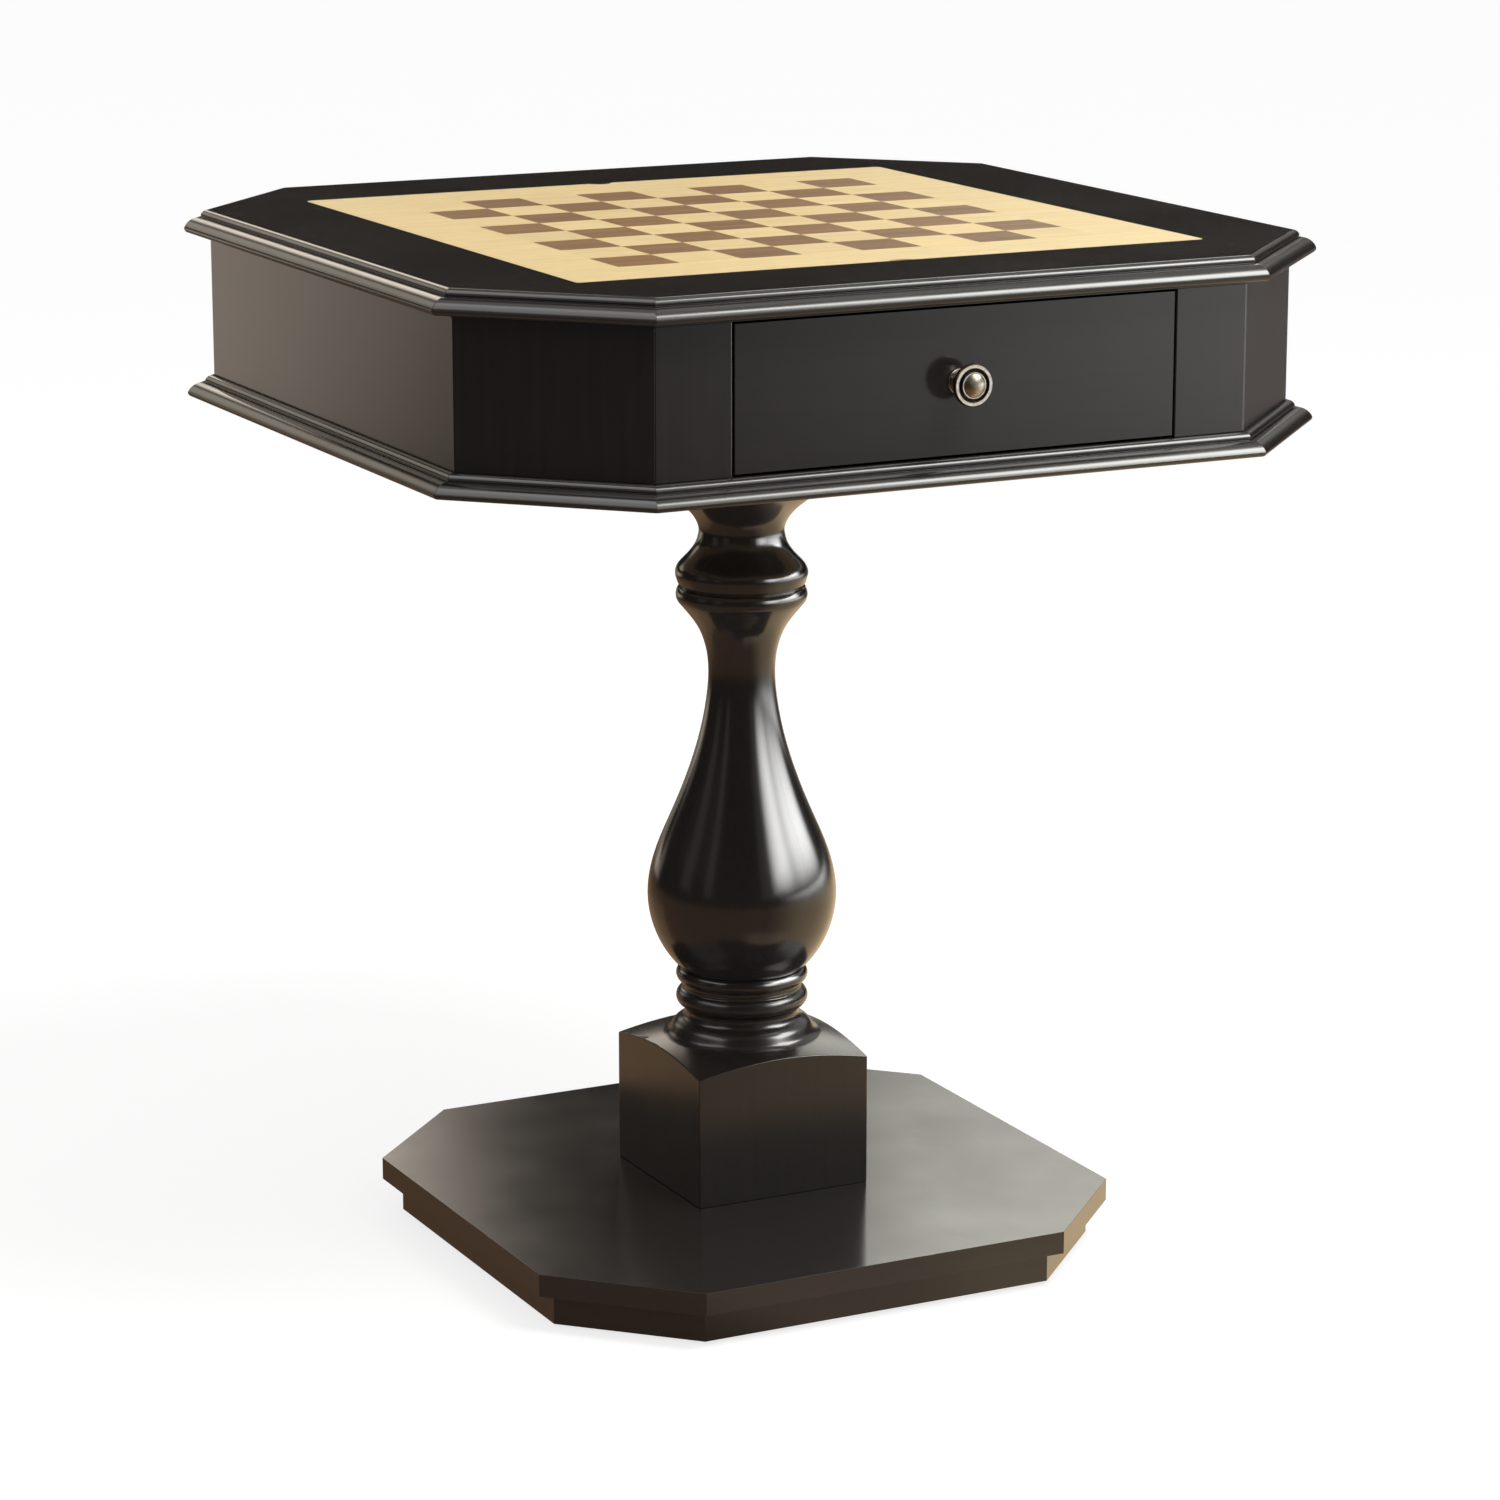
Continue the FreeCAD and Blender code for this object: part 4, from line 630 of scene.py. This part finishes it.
def painted_floor(name):
    """Pale matt paint, which shows as white apart from the shadow on it."""
    finish = bpy.data.materials.new(name)
    tree = emptied_tree(finish)
    output = tree.nodes.new("ShaderNodeOutputMaterial")
    paint = tree.nodes.new("ShaderNodeBsdfDiffuse")
    paint.inputs["Color"].default_value = FLOOR_COLOUR
    shadowed = tree.nodes.new("ShaderNodeBsdfDiffuse")
    shadowed.inputs["Color"].default_value = SEEN_FLOOR_COLOUR
    glow = tree.nodes.new("ShaderNodeEmission")
    glow.inputs["Strength"].default_value = SEEN_FLOOR_GLOW
    white = tree.nodes.new("ShaderNodeAddShader")
    tree.links.new(shadowed.outputs["BSDF"], white.inputs[0])
    tree.links.new(glow.outputs["Emission"], white.inputs[1])
    shown = where_seen(tree, paint.outputs["BSDF"], white.outputs["Shader"])
    tree.links.new(shown, output.inputs["Surface"])
    return finish


def stage_piece(name, points, faces, material):
    """A plain mesh that belongs to the studio."""
    mesh = bpy.data.meshes.new(name)
    mesh.from_pydata(points, [], faces)
    mesh.materials.append(material)
    piece = bpy.data.objects.new(name, mesh)
    bpy.context.scene.collection.objects.link(piece)
    return piece


floor_corners = [
    (side_x * FLOOR_REACH, side_y * FLOOR_REACH, 0.0)
    for side_x, side_y in ((-1, -1), (1, -1), (1, 1), (-1, 1))
]
stage_piece("studio_floor", floor_corners, [(0, 1, 2, 3)], painted_floor("studio_floor"))

world = bpy.data.worlds.new("studio_air")
bpy.context.scene.world = world
air = emptied_tree(world)
air_output = air.nodes.new("ShaderNodeOutputWorld")
fill = air.nodes.new("ShaderNodeBackground")
fill.inputs["Strength"].default_value = FILL
white_air = air.nodes.new("ShaderNodeBackground")
white_air.inputs["Color"].default_value = (*WHITE, 1.0)
white_air.inputs["Strength"].default_value = AIR_WHITE
shown_air = where_seen(air, fill.outputs["Background"], white_air.outputs["Background"])
air.links.new(shown_air, air_output.inputs["Surface"])


# Studio curtain and floor cloth.
# A black curtain hangs far out all round, with glowing zones painted on it for a few pale openings
# and lamps, and a brown cloth on the floor is painted with a glow where the window's light would fall.
# Neither is a lamp: they show only as painted reflections in the lacquer and the metal.

CURTAIN_RADIUS = 60.0
CURTAIN_RINGS = 24
CURTAIN_SIDES = 48
CURTAIN_FOOT = -8.0
CURTAIN_TOP = 90.0
CURTAIN_BLACK = (0.020, 0.018, 0.016)
CLOTH_BLACK = (0.010, 0.008, 0.007)
CLOTH_HEIGHT = 2.0 * MILLIMETRE
FULL_TURN = 360.0
FIRST_TURN = -135.0
ALL_ROUND = (FIRST_TURN - 1.0, FIRST_TURN, FIRST_TURN + FULL_TURN, FIRST_TURN + FULL_TURN + 1.0)
FROM_THE_MIDDLE = (-2.0, -1.0)
AND_BEYOND = (90.0, 91.0)

# A zone has its colour, four turns about the table in degrees from the front towards the right, and
# four heights in degrees above the horizon: it begins, is full, is still full and ends.
CURTAIN_ZONES = [
    # Painted glow of a pale opening at the back, in two parts with a dark gap, and of lower ones beside
    # it at the left.
    ((3.00, 2.65, 2.25), (156.7, 158.3, 172.0, 184.0), (15.2, 18.4, 28.0, 38.0)),
    ((3.00, 2.97, 2.65), (134.0, 140.0, 151.3, 152.7), (15.2, 18.4, 33.0, 40.0)),
    ((1.40, 1.25, 1.02), (182.0, 188.0, 199.0, 204.0), (7.0, 12.0, 22.0, 30.0)),
    ((0.60, 0.52, 0.43), (198.0, 203.0, 206.0, 214.0), (-9.0, -6.0, 3.0, 8.0)),
    # Painted glow of a large lamp high at the left.
    ((2.90, 2.85, 2.75), (-128.0, -118.0, -64.0, -58.0), (35.0, 42.0, 70.0, 80.0)),
    # Painted faint light low at the left with two grey strips in it, and a grey strip in front.
    ((0.06, 0.05, 0.05), (-128.0, -115.0, -60.0, -54.0), (8.0, 18.0, 36.0, 40.0)),
    ((0.26, 0.24, 0.25), (-112.0, -104.0, -97.0, -89.0), (-4.0, 6.0, 30.0, 38.0)),
    ((0.30, 0.29, 0.30), (-77.0, -71.0, -66.0, -61.0), (-4.0, 6.0, 30.0, 38.0)),
    ((0.26, 0.26, 0.24), (-6.0, 1.0, 12.0, 18.0), (-9.0, -6.0, 34.0, 40.0)),
    # Painted glow of a grey opening at the right front with a large bright one in it, a dimmer one, and
    # of the top.
    ((0.60, 0.60, 0.58), (14.0, 24.0, 56.0, 68.0), (0.0, 8.0, 30.0, 40.0)),
    ((2.20, 2.20, 2.10), (24.0, 30.0, 56.0, 68.0), (14.0, 34.0, 50.0, 64.0)),
    ((18.0, 18.0, 17.2), (35.0, 43.0, 80.0, 92.0), (28.0, 35.0, 50.0, 57.0)),
    ((0.70, 0.70, 0.66), (66.0, 84.0, 132.0, 138.0), (12.0, 18.0, 60.0, 70.0)),
    ((1.05, 1.02, 0.98), ALL_ROUND, (52.0, 66.0, *AND_BEYOND)),
]
# On the cloth the last four are metres from the column's line.
CLOTH_ZONES = [
    # Painted glow, brown near the table, brighter at the right, close in front and close behind.
    ((0.30, 0.17, 0.09), ALL_ROUND, (*FROM_THE_MIDDLE, 1.2, 3.0)),
    ((1.15, 0.92, 0.58), (0.0, 54.0, 122.0, 160.0), (*FROM_THE_MIDDLE, 1.2, 3.0)),
    ((0.55, 0.45, 0.34), (-32.0, -8.0, 22.0, 48.0), (*FROM_THE_MIDDLE, 0.3, 0.5)),
    ((0.26, 0.18, 0.10), (160.0, 190.0, 224.0, 226.0), (*FROM_THE_MIDDLE, 0.5, 1.4)),
    # A painted pool of the window's light on the floor at the right front; the window lamp doesn't light
    # it.
    ((5.50, 5.55, 5.45), (14.5, 62.0, 84.0, 114.0), (0.8, 6.2, *AND_BEYOND)),
    # Painted light from the back in three parts, and a grey part at the right.
    ((1.30, 1.08, 0.90), (184.0, 194.0, 199.0, 213.5), (2.4, 3.6, *AND_BEYOND)),
    ((0.45, 0.40, 0.32), (160.0, 175.0, 188.0, 200.0), (1.8, 3.0, *AND_BEYOND)),
    ((1.30, 1.25, 1.12), (134.0, 140.0, 150.0, 158.0), (1.4, 2.4, *AND_BEYOND)),
    ((0.17, 0.15, 0.14), (98.0, 106.0, 134.0, 142.0), (2.4, 3.6, *AND_BEYOND)),
]


def reflected_only(piece):
    """Hides a piece from all rays but the glossy ones."""
    piece.visible_camera = False
    piece.visible_diffuse = False
    piece.visible_transmission = False
    piece.visible_volume_scatter = False
    piece.visible_shadow = False


def between(tree, value, limits):
    """Rises from 0 to 1 between the first two limits and falls again between the last two."""
    begin, full, last, end = limits
    parts = []
    for low, high, at_low, at_high in ((begin, full, 0.0, 1.0), (last, end, 1.0, 0.0)):
        remap = tree.nodes.new("ShaderNodeMapRange")
        remap.interpolation_type = "SMOOTHSTEP"
        remap.inputs["From Min"].default_value = low
        remap.inputs["From Max"].default_value = high
        remap.inputs["To Min"].default_value = at_low
        remap.inputs["To Max"].default_value = at_high
        tree.links.new(value, remap.inputs["Value"])
        parts.append(remap.outputs["Result"])
    return reckoned(tree, "MULTIPLY", *parts)


def glowing_zones(name, background, zones, measured):
    """A glow of the background colour plus the colour of each zone, by turn and the other measure."""
    finish = bpy.data.materials.new(name)
    tree = emptied_tree(finish)
    output = tree.nodes.new("ShaderNodeOutputMaterial")
    glow = tree.nodes.new("ShaderNodeEmission")
    place = split_place(tree, tree.nodes.new("ShaderNodeTexCoord").outputs["Object"])
    to_front = reckoned(tree, "MULTIPLY", place["Y"], -1.0)
    turn = reckoned(tree, "DEGREES", reckoned(tree, "ARCTAN2", place["X"], to_front))
    turn = reckoned(tree, "WRAP", turn, FIRST_TURN + FULL_TURN, FIRST_TURN)
    measure = measured(tree, place)
    total = background
    for colour, turns, reach in zones:
        weight = reckoned(tree, "MULTIPLY", between(tree, turn, turns), between(tree, measure, reach))
        total = reckoned_place(tree, "MULTIPLY_ADD", colour, weight, total)
    tree.links.new(total, glow.inputs["Color"])
    tree.links.new(glow.outputs["Emission"], output.inputs["Surface"])
    finish.cycles.emission_sampling = "NONE"
    return finish


def rise(tree, place):
    """Degrees above the horizon of a place on the curtain."""
    height = reckoned(tree, "DIVIDE", place["Z"], CURTAIN_RADIUS)
    return reckoned(tree, "DEGREES", reckoned(tree, "ARCSINE", height))


def distance(tree, place):
    """Metres from the column's line to a place on the cloth."""
    squares = [reckoned(tree, "MULTIPLY", place[axis], place[axis]) for axis in ("X", "Y")]
    return reckoned(tree, "SQRT", reckoned(tree, "ADD", *squares))


def around(turn, radius, height):
    """A point at that turn in degrees about the column's line, from the front towards the right."""
    angle = math.radians(turn)
    return (radius * math.sin(angle), -radius * math.cos(angle), height)


def ring_of_points(radius, height):
    """Points all round the table, one for each side of the curtain."""
    return [around(FULL_TURN * side / CURTAIN_SIDES, radius, height) for side in range(CURTAIN_SIDES)]


curtain_points = []
for ring in range(CURTAIN_RINGS + 1):
    lift = math.radians(CURTAIN_FOOT + (CURTAIN_TOP - CURTAIN_FOOT) * ring / CURTAIN_RINGS)
    curtain_points += ring_of_points(CURTAIN_RADIUS * math.cos(lift), CURTAIN_RADIUS * math.sin(lift))
curtain_faces = [
    (ring * CURTAIN_SIDES + side, ring * CURTAIN_SIDES + (side + 1) % CURTAIN_SIDES,
     (ring + 1) * CURTAIN_SIDES + (side + 1) % CURTAIN_SIDES, (ring + 1) * CURTAIN_SIDES + side)
    for ring in range(CURTAIN_RINGS) for side in range(CURTAIN_SIDES)
]
# The curtain's painted glow, which shows only in reflections.
reflected_only(stage_piece(
    "studio_curtain", curtain_points, curtain_faces,
    glowing_zones("curtain_painted_glow", CURTAIN_BLACK, CURTAIN_ZONES, rise),
))
# The floor cloth's painted glow, which shows only in reflections.
reflected_only(stage_piece(
    "floor_cloth_painted_glow", ring_of_points(CURTAIN_RADIUS, CLOTH_HEIGHT), [tuple(range(CURTAIN_SIDES))],
    glowing_zones("floor_cloth_painted_glow", CLOTH_BLACK, CLOTH_ZONES, distance),
))


# Studio lamps.
# A soft box high in front lights the whole table at a plain level. A tall window at the right shines
# only in the gloss of the vase and the capital: brighter to its far side, with a thin bar across it.

SOFT_BOX_PLACE = (0.9, -1.5, 3.1)
SOFT_BOX_AIM = (0.0, 0.0, 0.5)
SOFT_BOX_WIDTH = 1.6
SOFT_BOX_HEIGHT = 1.3
SOFT_BOX_RADIANCE = 10.2
SOFT_BOX_COLOUR = (1.0, 0.99, 0.97)
WINDOW_TURN = 52.0
WINDOW_DISTANCE = 3.0
WINDOW_WIDTH = 5.4
WINDOW_HEIGHT = 2.6
WINDOW_RADIANCE = 20.0
WINDOW_COLOUR = (1.0, 1.0, 0.98)
# Brightness at shares of the window's width and height.
ACROSS_SHARES = [
    (0.0, 0.0), (0.04, 0.09), (0.155, 0.6), (0.276, 0.87), (0.35, 0.83), (0.41, 0.57),
    (0.46, 0.6), (0.52, 0.84), (0.70, 1.0), (0.83, 0.85), (0.92, 0.4), (1.0, 0.0),
]
UPWARD_SHARES = [(0.12, 0.0), (0.26, 0.38), (0.40, 0.74), (0.56, 1.0)]


def lamp(name, place, aim, width, height, radiance, colour):
    """A flat lamp that the camera doesn't see, turned from its place towards its aim."""
    data = bpy.data.lights.new(name, "AREA")
    data.shape = "RECTANGLE"
    data.size = width
    data.size_y = height
    data.color = colour
    data.energy = radiance * math.pi * width * height
    made = bpy.data.objects.new(name, data)
    made.location = place
    made.rotation_mode = "QUATERNION"
    made.rotation_quaternion = (Vector(aim) - Vector(place)).to_track_quat("-Z", "Y")
    made.visible_camera = False
    bpy.context.scene.collection.objects.link(made)
    return made


def brightness(tree, value, shares):
    """A grey for each value."""
    return graded(tree, value, [(share, (level,) * 3) for share, level in shares])


soft_box = lamp(
    "key_soft_box", SOFT_BOX_PLACE, SOFT_BOX_AIM,
    SOFT_BOX_WIDTH, SOFT_BOX_HEIGHT, SOFT_BOX_RADIANCE, SOFT_BOX_COLOUR,
)
soft_box.visible_glossy = False

window = lamp(
    "window", around(WINDOW_TURN, WINDOW_DISTANCE, WINDOW_HEIGHT / 2), (0.0, 0.0, WINDOW_HEIGHT / 2),
    WINDOW_WIDTH, WINDOW_HEIGHT, WINDOW_RADIANCE, WINDOW_COLOUR,
)
window.visible_diffuse = False
panes = emptied_tree(window.data)
pane_output = panes.nodes.new("ShaderNodeOutputLight")
pane_glow = panes.nodes.new("ShaderNodeEmission")
pane_place = split_place(panes, panes.nodes.new("ShaderNodeNewGeometry").outputs["Parametric"])
across_panes = brightness(panes, pane_place["X"], ACROSS_SHARES)
up_panes = brightness(panes, pane_place["Y"], UPWARD_SHARES)
pane_light = reckoned_place(panes, "MULTIPLY", across_panes, up_panes)
panes.links.new(pane_light, pane_glow.inputs["Color"])
panes.links.new(pane_glow.outputs["Emission"], pane_output.inputs["Surface"])

window_pieces = bpy.data.collections.new("window_pieces")
for name in ("column_vase", "column_capital"):
    window_pieces.objects.link(nodes[name])
window.light_linking.receiver_collection = window_pieces


# Camera.
# A long lens at the photograph's place: in front, to the left, a little above the top. It is turned
# to the right and tipped downwards by these angles, in radians.

LENS = 114.31
SENSOR = 36.0
CAMERA_PLACE = (-1.5822, -3.1575, 1.2403)
CAMERA_YAW = 0.4663
CAMERA_PITCH = -0.2386

camera_data = bpy.data.cameras.new("camera")
camera_data.lens = LENS
camera_data.sensor_width = SENSOR
camera = bpy.data.objects.new("camera", camera_data)
camera.location = CAMERA_PLACE
sight = Vector((
    math.sin(CAMERA_YAW) * math.cos(CAMERA_PITCH),
    math.cos(CAMERA_YAW) * math.cos(CAMERA_PITCH),
    math.sin(CAMERA_PITCH),
))
camera.rotation_mode = "QUATERNION"
camera.rotation_quaternion = sight.to_track_quat("-Z", "Y")
bpy.context.scene.collection.objects.link(camera)
bpy.context.scene.camera = camera
bpy.context.scene.view_settings.view_transform = "Standard"
